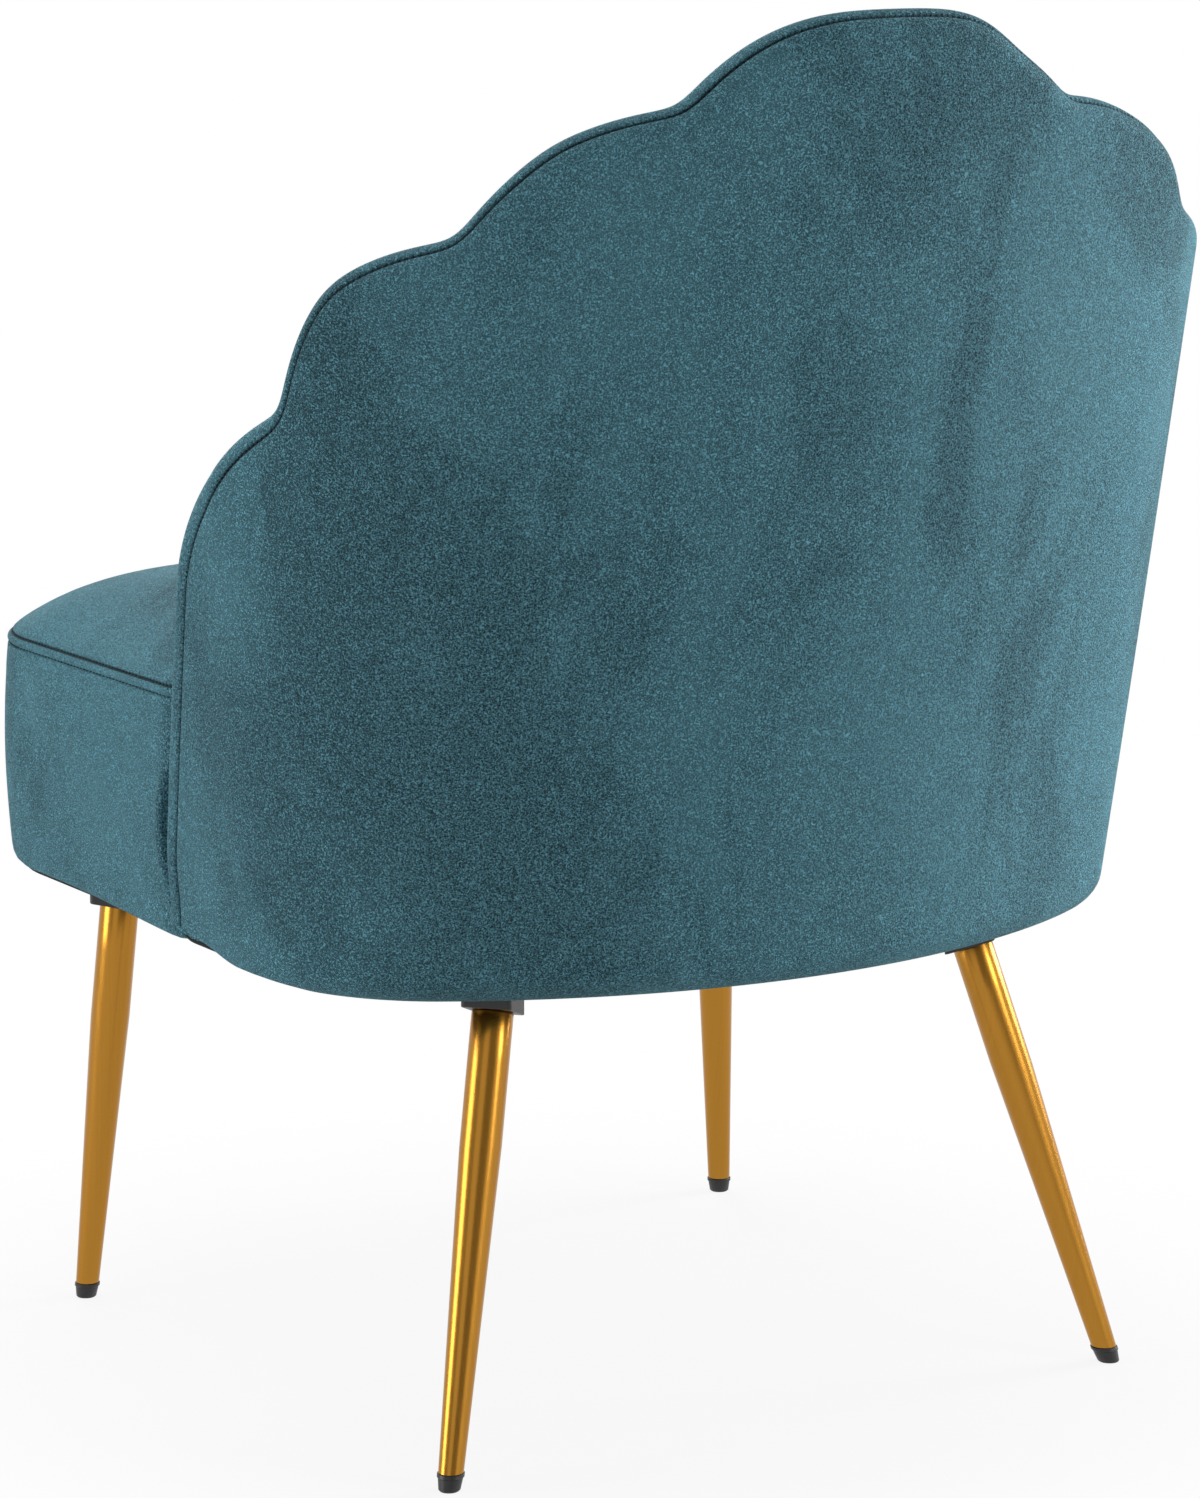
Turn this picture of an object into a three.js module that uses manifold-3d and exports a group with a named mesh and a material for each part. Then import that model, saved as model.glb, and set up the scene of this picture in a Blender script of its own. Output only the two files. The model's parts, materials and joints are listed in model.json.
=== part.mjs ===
// Scallop back chair: an armless tub chair whose velvet shell ends in seven lobes.
// Millimetres, +Z up, the chair faces -Y and the sitter's left is +X.
import * as THREE from 'three';
import { mergeVertices } from 'three/addons/utils/BufferGeometryUtils.js';
import Module from 'manifold-3d';

const wasm = await Module();
wasm.setup();

// The shell's wall, as a plan low down and a plan at the peak, with a straight loft between
const UNDERSIDE = 280;
const PEAK = 853;
const LOW_HALF_WIDTH = 296;
const LOW_CORNER_RADIUS = 137;
const LOW_BACK_RADIUS = 454;
const LOW_REAR = 258;
const HIGH_HALF_WIDTH = 352;
const HIGH_CORNER_RADIUS = 200.5;
const HIGH_BACK_RADIUS = 648;
const HIGH_REAR = 332;
const REFERENCE_HEIGHT = 700;

// The scalloped edge: runs are measured round the wall from centre back, those of the shoulder and the wing
// from the end of the corner
const VALLEY_1_RUN = 137;
const VALLEY_1_HEIGHT = 801;
const VALLEY_2_RUN = 263;
const VALLEY_2_HEIGHT = 729;
const VALLEY_3_RUN = 376;
const VALLEY_3_HEIGHT = 629;
const SHOULDER_RUN = 58.11;
const SHOULDER_HEIGHT = 511;
const WING_FOOT_RUN = 112.41;
const WING_BOW = 4.5;
const UPPER_LOBE_BULGE = 19;
const LOWER_LOBE_BULGE = 30;
const CENTRE_FULLNESS_SHARE = 3;
const LOBE_FULLNESS_SHARE = 1.7;
const SHOULDER_START_SHARES = [0.51, 0.22];
const SHOULDER_END_SHARES = [0.925, 0.58];

// Where the channels' seams meet the seat, as runs, and from the end of the corner at the shoulder and front
const SEAM_1_FOOT = 70;
const SEAM_2_FOOT = 165;
const SEAM_3_FOOT = 270;
const SHOULDER_FOOT = -21.59;
const FRONT_FOOT = 72.41;

// The shell's layers, as depths in from the outer face
const CLEARANCE = 0.3;
const RIM_THICKNESS = 30;
const OUTER_COVER = 8;
const PLY = 12;
const SKIN = 2.5;
const SEAM_INSET = 8.1;
const PLY_INSET = 10;
const RIM_DEPTH = 24;
const CHANNEL_PUFF = 20;
const PUFF_LEAN_SHARE = 0.094;
const CHANNEL_FADE = 60;
const CHANNEL_FULLNESS_SHARE = 2.6;
const TUCK_WIDTH = 25;
const TUCK_HEIGHT = 20;
const HEM_THICKNESS = 2.8;
const HEM_LINE = 34;
const HEM_STEP = 4;
const PLY_BOTTOM = 300.4;
const PAD_BOTTOM = 337;
const FOAM_GAP = 0.7;

// Seat frame
const FRAME_GAP = 0.6;
const RAIL_HEIGHT = 50;
const RAIL_LINE = 42.2;
const SIDE_RAIL = 22;
const REAR_RAIL = 33;
const RAIL_CHAMFER = 8;
const RAIL_INSET = 8;
const RAIL_JOINT = 5;
const BATTEN_LIFT = 5;
const BATTEN_FRONT = 50;
const BATTEN_GAP = 1.2;
const CORNER_BLOCK_LENGTH = 70;
const CORNER_BLOCK_WIDTH = 54;

// Seat upholstery
const SEAT_HALF_WIDTH = 270;
const SEAT_FRONT = 362;
const SEAT_CORNER_RADIUS = 90;
const SEAT_REAR_LINE = 35.7;
const SEAT_CENTRE = -60;
const SEAT_SEAM_HEIGHT = 434;
const SEAT_CROWN = 53;
const SEAT_BULGE = 4.5;
const SEAT_EDGE_RADIUS = 12;
const SEAT_STEP_START = -38;
const SEAT_STEP_LENGTH = 35;
const SEAT_HEM = 20;
const CROWN_FULLNESS_SHARE = 4;
const CROWN_RING_SHARES = [0.96, 0.86, 0.72, 0.48];
const DUST_COVER = 1;
const DUST_COVER_INSET = 3;
const DUST_COVER_LINE = 28;
const DECK_FELT = 2.5;
const FELT_INSET = 16;

// Sinuous springs and their clips
const SPRING_RUNS = [40, 120];
const SPRING_WAVES = 8;
const SPRING_SWING = 26;
const SPRING_WIRE = 3.5;
const SPRING_SIDES = 5;
const STEPS_PER_WAVE = 8;
const CLIP_PLATE = 1.2;
const CLIP_WIDTH = 14;
const CLIP_LENGTH = 16;
const FELT_GAP = 1;

// Legs
const FOOT_REAR = [238.9, 220.7];
const FOOT_FRONT = [246.6, -242.8];
const TOP_REAR = [173, 160];
const TOP_FRONT = [227.4, -222.9];
const LEG_TOP = 264.7;
const LEG_STRAIGHT = 75;
const LEG_TOP_RADIUS = 12.5;
const LEG_FOOT_RADIUS = 7.5;
const LEG_WALL = 1.5;
const LEG_TOP_PLATE = 4;
const LEG_SIDES = 16;
const CAP_HEIGHT = 10;
const CAP_FLANGE = 2.4;
const CAP_FLANGE_LIP = 0.6;
const CAP_TAPER = 1;
const CAP_PLUG = 14;
const BLOCK_SIDE = 31;
const BLOCK_CORNER = 3;
const STUD_RADIUS = 4;
const STUD_BELOW = 16;
const HOLE_CLEARANCE = 0.4;
const NUT_FLANGE_RADIUS = 10.5;
const NUT_FLANGE = 1.6;
const NUT_BARREL = 5.4;
const NUT_LENGTH = 9;
const ROUND_SIDES = 12;

// Bolts that hold the shell to the seat frame: those at the side are placed from the end of the corner
const BOLT_HEAD_RADIUS = 8;
const BOLT_HEAD = 4;
const SIDE_BOLT_RUNS = [-11.07, 27.93];
const REAR_BOLT_RUN = 118;
const BOLT_HEIGHT = 317;
const CUT_OVERRUN = 5;

const velvet = new THREE.MeshStandardMaterial({ color: 0x2f6570, roughness: 0.75, metalness: 0 });
const gold = new THREE.MeshStandardMaterial({ color: 0xc9923a, roughness: 0.18, metalness: 1 });
const blackPlastic = new THREE.MeshStandardMaterial({ color: 0x141414, roughness: 0.5, metalness: 0 });
const wood = new THREE.MeshStandardMaterial({ color: 0xb48a5a, roughness: 0.7, metalness: 0 });
const foam = new THREE.MeshStandardMaterial({ color: 0xe6dfb8, roughness: 0.95, metalness: 0 });
const felt = new THREE.MeshStandardMaterial({ color: 0x6d6d6d, roughness: 1, metalness: 0 });
const lining = new THREE.MeshStandardMaterial({ color: 0x0d0d0d, roughness: 0.95, metalness: 0 });
const steel = new THREE.MeshStandardMaterial({ color: 0x8c8f92, roughness: 0.35, metalness: 1 });

const mix = (a, b, share) => a + (b - a) * share;
const clamp01 = (value) => Math.min(Math.max(value, 0), 1);
const smooth = (share) => share * share * (3 - 2 * share);

// Solids from points

function signedVolume(positions, index) {
  const a = new THREE.Vector3();
  const b = new THREE.Vector3();
  const c = new THREE.Vector3();
  let sum = 0;
  for (let i = 0; i < index.length; i += 3) {
    a.fromArray(positions, index[i] * 3);
    b.fromArray(positions, index[i + 1] * 3);
    c.fromArray(positions, index[i + 2] * 3);
    sum += a.dot(b.cross(c));
  }
  return sum;
}

// A closed body from points and triangles, turned so that its faces point out
function body(points, index) {
  const positions = points.flatMap((p) => [p.x, p.y, p.z]);
  if (signedVolume(positions, index) < 0) index.reverse();
  const geometry = new THREE.BufferGeometry();
  geometry.setAttribute('position', new THREE.Float32BufferAttribute(positions, 3));
  geometry.setIndex(index);
  geometry.computeVertexNormals();
  return geometry;
}

function quad(index, a, b, c, d) {
  index.push(a, b, c, a, c, d);
}

// Rings of equal length joined in order. A loop joins the last ring to the first; otherwise the ends are capped.
function ringSolid(rings, loop = false) {
  const sides = rings[0].length;
  const points = rings.flat();
  const index = [];
  const last = loop ? rings.length : rings.length - 1;
  for (let r = 0; r < last; r += 1) {
    const low = r * sides;
    const high = ((r + 1) % rings.length) * sides;
    for (let i = 0; i < sides; i += 1) {
      const next = (i + 1) % sides;
      quad(index, low + i, low + next, high + next, high + i);
    }
  }
  if (!loop) {
    capRing(points, index, rings[0], 0, true);
    capRing(points, index, rings.at(-1), (rings.length - 1) * sides, false);
  }
  return body(points, index);
}

function capRing(points, index, ring, start, reversed) {
  const centre = ring.reduce((sum, p) => sum.add(p), new THREE.Vector3()).divideScalar(ring.length);
  const hub = points.length;
  points.push(centre);
  for (let i = 0; i < ring.length; i += 1) {
    const next = (i + 1) % ring.length;
    if (reversed) index.push(hub, start + next, start + i);
    else index.push(hub, start + i, start + next);
  }
}

// A sheet with a thickness: two grids of points, [column][row], joined along their border.
// The diagonals of one half mirror those of the other.
function sheetSolid(outer, inner) {
  const columns = outer.length;
  const rows = outer[0].length;
  const points = [...outer.flat(), ...inner.flat()];
  const inside = columns * rows;
  const at = (column, row) => column * rows + row;
  const inFirstHalf = (p, q) => Math.floor(p / rows) + Math.floor(q / rows) < columns - 1;
  const index = [];
  for (let c = 0; c < columns - 1; c += 1) {
    for (let r = 0; r < rows - 1; r += 1) {
      const corners = [at(c, r), at(c + 1, r), at(c + 1, r + 1), at(c, r + 1)];
      if (inFirstHalf(corners[0], corners[1])) corners.push(corners.shift());
      quad(index, ...corners);
      const [first, ...others] = corners.map((corner) => inside + corner);
      quad(index, first, ...others.reverse());
    }
  }
  const border = [];
  for (let c = 0; c < columns - 1; c += 1) border.push(at(c, 0));
  for (let r = 0; r < rows - 1; r += 1) border.push(at(columns - 1, r));
  for (let c = columns - 1; c > 0; c -= 1) border.push(at(c, rows - 1));
  for (let r = rows - 1; r > 0; r -= 1) border.push(at(0, r));
  border.forEach((p, i) => {
    const next = border[(i + 1) % border.length];
    const corners = [next, p, inside + p, inside + next];
    if (inFirstHalf(p, next)) corners.push(corners.shift());
    quad(index, ...corners);
  });
  return body(points, index);
}

function toSolid(geometry) {
  const bare = geometry.clone();
  bare.deleteAttribute('normal');
  bare.deleteAttribute('uv');
  const merged = mergeVertices(bare);
  return new wasm.Manifold(new wasm.Mesh({
    numProp: 3,
    vertProperties: Float32Array.from(merged.attributes.position.array),
    triVerts: Uint32Array.from(merged.index.array),
  }));
}

// The first geometry with all the others cut away
function cut(geometry, ...tools) {
  let solid = toSolid(geometry);
  for (const tool of tools) solid = solid.subtract(toSolid(tool));
  const mesh = solid.getMesh();
  const result = new THREE.BufferGeometry();
  result.setAttribute('position', new THREE.Float32BufferAttribute(mesh.vertProperties, 3));
  result.setIndex([...mesh.triVerts]);
  result.computeVertexNormals();
  return result;
}

// A round bar from one point to another
function bar(from, to, radius, sides = ROUND_SIDES) {
  const along = to.clone().sub(from);
  const geometry = new THREE.CylinderGeometry(radius, radius, along.length(), sides);
  const turn = new THREE.Quaternion().setFromUnitVectors(new THREE.Vector3(0, 1, 0), along.clone().normalize());
  geometry.applyQuaternion(turn);
  const middle = from.clone().add(to).multiplyScalar(0.5);
  return geometry.translate(middle.x, middle.y, middle.z);
}

// The shell's wall

function planAt(height) {
  const share = (height - UNDERSIDE) / (PEAK - UNDERSIDE);
  return {
    halfWidth: mix(LOW_HALF_WIDTH, HIGH_HALF_WIDTH, share),
    cornerRadius: mix(LOW_CORNER_RADIUS, HIGH_CORNER_RADIUS, share),
    backRadius: mix(LOW_BACK_RADIUS, HIGH_BACK_RADIUS, share),
    rear: mix(LOW_REAR, HIGH_REAR, share),
  };
}

// Centre of the corner arc, centre of the back arc and the angle at which they meet
function arcsOf(plan) {
  const cornerX = plan.halfWidth - plan.cornerRadius;
  const backY = plan.rear - plan.backRadius;
  const reach = plan.backRadius - plan.cornerRadius;
  const cornerY = backY + Math.sqrt(reach * reach - cornerX * cornerX);
  return { cornerX, cornerY, backY, meet: Math.atan2(cornerY - backY, cornerX) };
}

const reference = planAt(REFERENCE_HEIGHT);
const referenceArcs = arcsOf(reference);
const BACK_RUN = reference.backRadius * (Math.PI / 2 - referenceArcs.meet);
const CORNER_RUN = reference.cornerRadius * referenceArcs.meet;
const SIDE_RUN = BACK_RUN + CORNER_RUN;
const fromCorner = (beyond) => SIDE_RUN + beyond;
const shoulderFoot = fromCorner(SHOULDER_FOOT);
const frontFoot = fromCorner(FRONT_FOOT);

// A point of the plan at a run, moved in from the outer face by a depth
function planPoint(plan, run, depth) {
  const { cornerX, cornerY, backY, meet } = arcsOf(plan);
  const far = Math.abs(run);
  const side = Math.sign(run) || 1;
  if (far <= BACK_RUN) {
    const angle = mix(Math.PI / 2, meet, far / BACK_RUN);
    const radius = plan.backRadius - depth;
    return new THREE.Vector2(side * radius * Math.cos(angle), backY + radius * Math.sin(angle));
  }
  const angle = mix(meet, 0, clamp01((far - BACK_RUN) / CORNER_RUN));
  const radius = plan.cornerRadius - depth;
  const beyond = Math.max(far - SIDE_RUN, 0);
  const x = cornerX + radius * Math.cos(angle);
  return new THREE.Vector2(side * x, cornerY + radius * Math.sin(angle) - beyond);
}

function wallPoint(run, height, depth, level = height) {
  const place = planPoint(planAt(height), run, depth);
  return new THREE.Vector3(place.x, place.y, level);
}

// The scalloped edge, as runs and heights

const peakPoint = (share) => new THREE.Vector2(
  VALLEY_1_RUN * share,
  mix(PEAK, VALLEY_1_HEIGHT, share ** CENTRE_FULLNESS_SHARE),
);

function lobePoint(from, to, bulge, share) {
  const chord = to.clone().sub(from);
  const out = new THREE.Vector2(-chord.y, chord.x).normalize();
  const rise = bulge * (1 - Math.abs(2 * share - 1) ** LOBE_FULLNESS_SHARE);
  return from.clone().lerp(to, share).addScaledVector(out, rise);
}

const valley1 = new THREE.Vector2(VALLEY_1_RUN, VALLEY_1_HEIGHT);
const valley2 = new THREE.Vector2(VALLEY_2_RUN, VALLEY_2_HEIGHT);
const valley3 = new THREE.Vector2(VALLEY_3_RUN, VALLEY_3_HEIGHT);
const shoulder = new THREE.Vector2(fromCorner(SHOULDER_RUN), SHOULDER_HEIGHT);
const wingFoot = new THREE.Vector2(fromCorner(WING_FOOT_RUN), UNDERSIDE);

const between = (from, to, shares) => new THREE.Vector2(mix(from.x, to.x, shares[0]), mix(from.y, to.y, shares[1]));
const shoulderCurve = new THREE.CubicBezierCurve(
  valley3,
  between(valley3, shoulder, SHOULDER_START_SHARES),
  between(valley3, shoulder, SHOULDER_END_SHARES),
  shoulder,
);
const frontMiddle = shoulder.clone().lerp(wingFoot, 0.5).add(new THREE.Vector2(WING_BOW, 0));
const frontCurve = new THREE.QuadraticBezierCurve(shoulder, frontMiddle, wingFoot);

// The four stretches of one side of the edge, from the peak to the wing's foot
const STRETCHES = [
  { columns: 4, point: peakPoint, feet: [0, SEAM_1_FOOT], across: (u) => u },
  {
    columns: 5,
    point: (u) => lobePoint(valley1, valley2, UPPER_LOBE_BULGE, u),
    feet: [SEAM_1_FOOT, SEAM_2_FOOT],
    across: (u) => 2 * u - 1,
  },
  {
    columns: 5,
    point: (u) => lobePoint(valley2, valley3, LOWER_LOBE_BULGE, u),
    feet: [SEAM_2_FOOT, SEAM_3_FOOT],
    across: (u) => 2 * u - 1,
  },
  {
    columns: 4,
    point: (u) => shoulderCurve.getPoint(u),
    feet: [SEAM_3_FOOT, shoulderFoot],
    across: (u) => u - 1,
  },
  { columns: 3, point: (u) => frontCurve.getPoint(u), feet: [shoulderFoot, frontFoot], across: () => 0 },
];

// One column of the shell for each sample of the edge: where it starts, which way is out, where it ends
function halfColumns() {
  const list = [];
  STRETCHES.forEach((stretch, which) => {
    const first = which === 0 ? 0 : 1;
    for (let i = first; i <= stretch.columns; i += 1) {
      const share = i / stretch.columns;
      list.push({
        edge: stretch.point(share),
        foot: mix(stretch.feet[0], stretch.feet[1], share),
        crown: 1 - Math.abs(stretch.across(share)) ** CHANNEL_FULLNESS_SHARE,
      });
    }
  });
  list.forEach((column, i) => {
    const before = i === 0 ? mirrored(list[1]).edge : list[i - 1].edge;
    const after = (list[i + 1] ?? column).edge;
    const along = after.clone().sub(before).normalize();
    column.out = new THREE.Vector2(-along.y, along.x);
  });
  list.at(-1).out = new THREE.Vector2(1, 0);
  return list;
}

function mirrored(column) {
  return {
    ...column,
    edge: new THREE.Vector2(-column.edge.x, column.edge.y),
    out: column.out && new THREE.Vector2(-column.out.x, column.out.y),
    foot: -column.foot,
  };
}

// A level column at the wing's foot, where the sheet is cut off at a floor height
function floorColumn(floor, foot = frontFoot) {
  const edge = frontCurve.getPoint(frontShareAt(floor));
  return { edge, foot, crown: 1, out: new THREE.Vector2(1, 0), level: true };
}

// All columns from the right wing's foot, over the peak, to the left wing's foot
function columnsDownTo(floor, ends = [floorColumn(floor)]) {
  const half = [...halfColumns().filter((column) => column.edge.y > floor + RIM_DEPTH), ...ends];
  return [...half.slice(1).reverse().map(mirrored), ...half];
}

function frontShareAt(height) {
  let low = 0;
  let high = 1;
  for (;;) {
    const middle = (low + high) / 2;
    if (middle === low || middle === high) return high;
    if (frontCurve.getPoint(middle).y > height) low = middle;
    else high = middle;
  }
}

const FIELD_ROW_SHARES = [0, 0.33, 0.66, 1];

// All layers share a row one cover's thickness above the pad's foot
const commonHeight = PAD_BOTTOM + OUTER_COVER;
const inset = (column, depth) => column.edge.clone().addScaledVector(column.out, -depth);

// Where a column's line from its inset point to the underside crosses a height
function crossing(column, height) {
  if (column.level) return new THREE.Vector2(column.foot, column.edge.y);
  const start = inset(column, RIM_DEPTH);
  const foot = new THREE.Vector2(column.foot, UNDERSIDE);
  const level = Math.min(height, (start.y + foot.y) / 2);
  return start.lerp(foot, (start.y - level) / (start.y - foot.y));
}

// The rows that all layers share below the rim, down to a floor
function fieldRows(column, floor) {
  const start = inset(column, RIM_DEPTH);
  const end = crossing(column, floor);
  const high = !column.level && (start.y + UNDERSIDE) / 2 > commonHeight;
  const stop = high ? crossing(column, commonHeight) : start.clone().lerp(end, FIELD_ROW_SHARES.at(-2));
  return [...FIELD_ROW_SHARES.map((share) => start.clone().lerp(stop, share)), end];
}

const rimRadius = RIM_THICKNESS / 2;

// A point of the rim's round nose: an angle from the top of the edge, positive to the outside
function nosePoint(column, radius, angle) {
  const place = inset(column, rimRadius - radius * Math.cos(angle));
  return wallPoint(place.x, place.y, rimRadius - radius * Math.sin(angle));
}

// Angle at which the nose of a radius reaches an inset on the outer side
const noseAngle = (radius, depth) => Math.acos((rimRadius - depth) / radius);

// How much thicker than the rim the inner pad is
function puffAt(column, place) {
  const side = Math.sign(column.foot) || 1;
  const gap = nearestEdge(place, side);
  const fade = smooth(clamp01((gap - rimRadius) / CHANNEL_FADE));
  const height = PUFF_LEAN_SHARE * (place.y - UNDERSIDE);
  return Math.min(CHANNEL_PUFF, height) * column.crown * fade;
}

const edgeSamples = halfColumns().map((column) => column.edge);

function nearestEdge(place, side) {
  const own = new THREE.Vector2(place.x * side, place.y);
  return Math.min(...edgeSamples.map((edge) => edge.distanceTo(own)));
}

// Tucked skin under the shell: an angle of 0 is the wall, a right angle is the underside
function tuckPoint(run, angle, depth) {
  const level = UNDERSIDE + TUCK_HEIGHT - (TUCK_HEIGHT - (depth * TUCK_HEIGHT) / TUCK_WIDTH) * Math.sin(angle);
  const across = TUCK_WIDTH - (TUCK_WIDTH - depth) * Math.cos(angle);
  return wallPoint(run, level, across);
}

const TUCK_ANGLE_SHARES = [0.33, 0.66, 1];
const NOSE_ROW_SHARES = [0, 0.5, 1];
const tuckAngle = (share) => (share * Math.PI) / 2;

// The velvet and wadding outside: from the seam, down the wall and round under the frame
function outerBackCover() {
  const floor = UNDERSIDE + TUCK_HEIGHT;
  const seam = SEAM_INSET + CLEARANCE;
  const ends = [0, ...TUCK_ANGLE_SHARES].map((share, i) => (
    { ...floorColumn(floor, frontFoot + HEM_STEP * i), angle: tuckAngle(share) }
  ));
  const skins = (depth) => columnsDownTo(floor, ends).map((column) => {
    const turn = column.angle ?? 0;
    const on = (place, in_) => (turn > 0 ? tuckPoint(place.x, turn, in_) : wallPoint(place.x, place.y, in_));
    const rows = NOSE_ROW_SHARES.map((share) => {
      const down = mix(seam, rimRadius, share);
      const round = rimRadius - Math.sqrt(rimRadius ** 2 - (rimRadius - down) ** 2);
      return on(inset(column, down), depth > 0 ? depth : round);
    });
    for (const place of fieldRows(column, floor)) rows.push(on(place, depth));
    const foot = crossing(column, floor).x;
    const drawn = (steps) => foot * (1 - (HEM_STEP * steps) / frontFoot);
    TUCK_ANGLE_SHARES.forEach((share, i) => {
      rows.push(tuckPoint(drawn(i + 1), Math.max(turn, tuckAngle(share)), depth));
    });
    const hemLevel = UNDERSIDE + (depth > 0 ? HEM_THICKNESS : 0);
    rows.push(wallPoint(drawn(TUCK_ANGLE_SHARES.length + 1), UNDERSIDE, HEM_LINE, hemLevel));
    return rows;
  });
  return sheetSolid(skins(0), skins(OUTER_COVER));
}

function backFrame() {
  const front = OUTER_COVER + CLEARANCE;
  const layer = (depth) => columnsDownTo(PLY_BOTTOM).map((column) => {
    const top = [PLY_INSET, rimRadius].map((down) => inset(column, down));
    return [...top, ...fieldRows(column, PLY_BOTTOM)].map((place) => wallPoint(place.x, place.y, depth));
  });
  return cut(sheetSolid(layer(front), layer(front + PLY)), ...boltHoles());
}

// Nose rows of a padded layer, from the outer seam over the edge to the inner face
function noseRows(column, radius, count) {
  const start = noseAngle(radius, SEAM_INSET);
  return Array.from({ length: count }, (_, i) => nosePoint(column, radius, mix(start, -Math.PI / 2, i / (count - 1))));
}

const NOSE_COUNT = 5;

// The pad ends above the seat frame, but runs down to the ply's foot at the wing's front
const padColumns = () => columnsDownTo(PLY_BOTTOM);
const padRows = (column) => fieldRows(column, PAD_BOTTOM);

function innerRows(column, depth) {
  return padRows(column).map((place) => wallPoint(place.x, place.y, depth + puffAt(column, place)));
}

function innerBackCover() {
  const skin = (depth) => padColumns().map((column) => [
    ...noseRows(column, rimRadius - depth, NOSE_COUNT),
    ...innerRows(column, RIM_THICKNESS - depth),
  ]);
  return sheetSolid(skin(0), skin(SKIN));
}

// The foam lies on the ply's inner face and hooks over its top edge
function backFoam() {
  const under = SKIN + CLEARANCE;
  const behind = OUTER_COVER + PLY + CLEARANCE + FOAM_GAP;
  const hookInset = PLY_INSET - FOAM_GAP;
  const hook = [
    [SEAM_INSET, OUTER_COVER],
    [hookInset, rimRadius],
    [hookInset, behind],
    [(hookInset + rimRadius) / 2, behind],
    [rimRadius, behind],
  ];
  const soft = padColumns().map((column) => [
    ...noseRows(column, rimRadius - under, NOSE_COUNT),
    ...innerRows(column, RIM_THICKNESS - under),
  ]);
  const hard = padColumns().map((column) => [
    ...hook.map(([down, depth]) => ({ place: inset(column, down), depth })),
    ...padRows(column).map((place) => ({ place, depth: behind })),
  ].map(({ place, depth }) => wallPoint(place.x, place.y, depth)));
  return sheetSolid(soft, hard);
}

// Seat frame

const frameBottom = UNDERSIDE + HEM_THICKNESS + FRAME_GAP;
const frameTop = frameBottom + RAIL_HEIGHT;
const lowPlan = planAt(UNDERSIDE);
const lowArcs = arcsOf(lowPlan);
const frontRailX = SEAT_HALF_WIDTH - RAIL_INSET;
const frontRailY = -SEAT_FRONT + RAIL_INSET;
const frontCornerX = SEAT_HALF_WIDTH - SEAT_CORNER_RADIUS;
const frontCornerY = -SEAT_FRONT + SEAT_CORNER_RADIUS;
const frontCornerRadius = SEAT_CORNER_RADIUS - RAIL_INSET;
const plyFace = OUTER_COVER + PLY + CLEARANCE;
const ARC_STEPS = 6;

function prism(outline, bottom, top, holes = []) {
  const shape = new THREE.Shape(outline);
  for (const [x, y, radius] of holes) {
    const hole = new THREE.Path().absarc(x, y, radius, 0, Math.PI * 2, true);
    shape.holes.push(new THREE.Path(hole.getPoints(ROUND_SIDES / 2).slice(1)));
  }
  return new THREE.ExtrudeGeometry(shape, { depth: top - bottom, bevelEnabled: false, steps: 1 })
    .translate(0, 0, bottom);
}

function rectangle(x1, x2, y1, y2) {
  return [new THREE.Vector2(x1, y1), new THREE.Vector2(x2, y1), new THREE.Vector2(x2, y2), new THREE.Vector2(x1, y2)];
}

// A rail swept along its outer line, with the lower outer edge chamfered for the cover's round corner
function railSolid(line, thickness) {
  return ringSolid(line.map(({ at, inward }) => {
    const point = (depth, height) => new THREE.Vector3(at.x + inward.x * depth, at.y + inward.y * depth, height);
    return [
      point(0, frameBottom + RAIL_CHAMFER),
      point(0, frameTop),
      point(thickness, frameTop),
      point(thickness, frameBottom),
      point(RAIL_CHAMFER, frameBottom),
    ];
  }));
}

// Runs that sweep round the back from one side to the other
function backRuns(from, to) {
  const stops = [from];
  for (let i = -ARC_STEPS; i <= ARC_STEPS; i += 1) {
    const run = (i / ARC_STEPS) * SIDE_RUN;
    if (run > from && run < to) stops.push(run);
  }
  return [...stops, to];
}

const runAtY = (y) => SIDE_RUN + lowArcs.cornerY - y;
const seatStepEnd = SEAT_STEP_START - SEAT_STEP_LENGTH;

// The rails meet a little ahead of the step in the seat's side
const railJointY = seatStepEnd - RAIL_JOINT;

function railRear() {
  const end = runAtY(railJointY);
  const line = backRuns(-end, end).map((run) => {
    const at = planPoint(lowPlan, run, RAIL_LINE);
    const inside = planPoint(lowPlan, run, RAIL_LINE + REAR_RAIL);
    return { at, inward: inside.sub(at).normalize() };
  });
  const studHoles = ['rear_left', 'rear_right'].map((corner) => nutHole(LEGS[corner]));
  return cut(railSolid(line, REAR_RAIL), ...studHoles, ...boltHoles());
}

function nutHole(leg) {
  const from = new THREE.Vector3(leg.top.x, leg.top.y, frameBottom - CUT_OVERRUN);
  return bar(from, from.clone().setZ(frameTop + CUT_OVERRUN), NUT_BARREL + HOLE_CLEARANCE);
}

// The batten fills the space between the seat frame and the ply
function shellBatten() {
  const front = frontFoot - BATTEN_FRONT;
  const face = plyFace + BATTEN_GAP;
  const bottom = frameBottom + BATTEN_LIFT;
  const sections = backRuns(-front, front).map((run) => {
    const inside = planPoint(lowPlan, run, SEAT_REAR_LINE - SEAT_BULGE - CLEARANCE);
    return [
      new THREE.Vector3(inside.x, inside.y, bottom),
      wallPoint(run, PLY_BOTTOM, face, bottom),
      wallPoint(run, PLY_BOTTOM, face),
      wallPoint(run, frameTop, face),
      new THREE.Vector3(inside.x, inside.y, frameTop),
    ];
  });
  return cut(ringSolid(sections), ...boltHoles());
}

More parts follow.
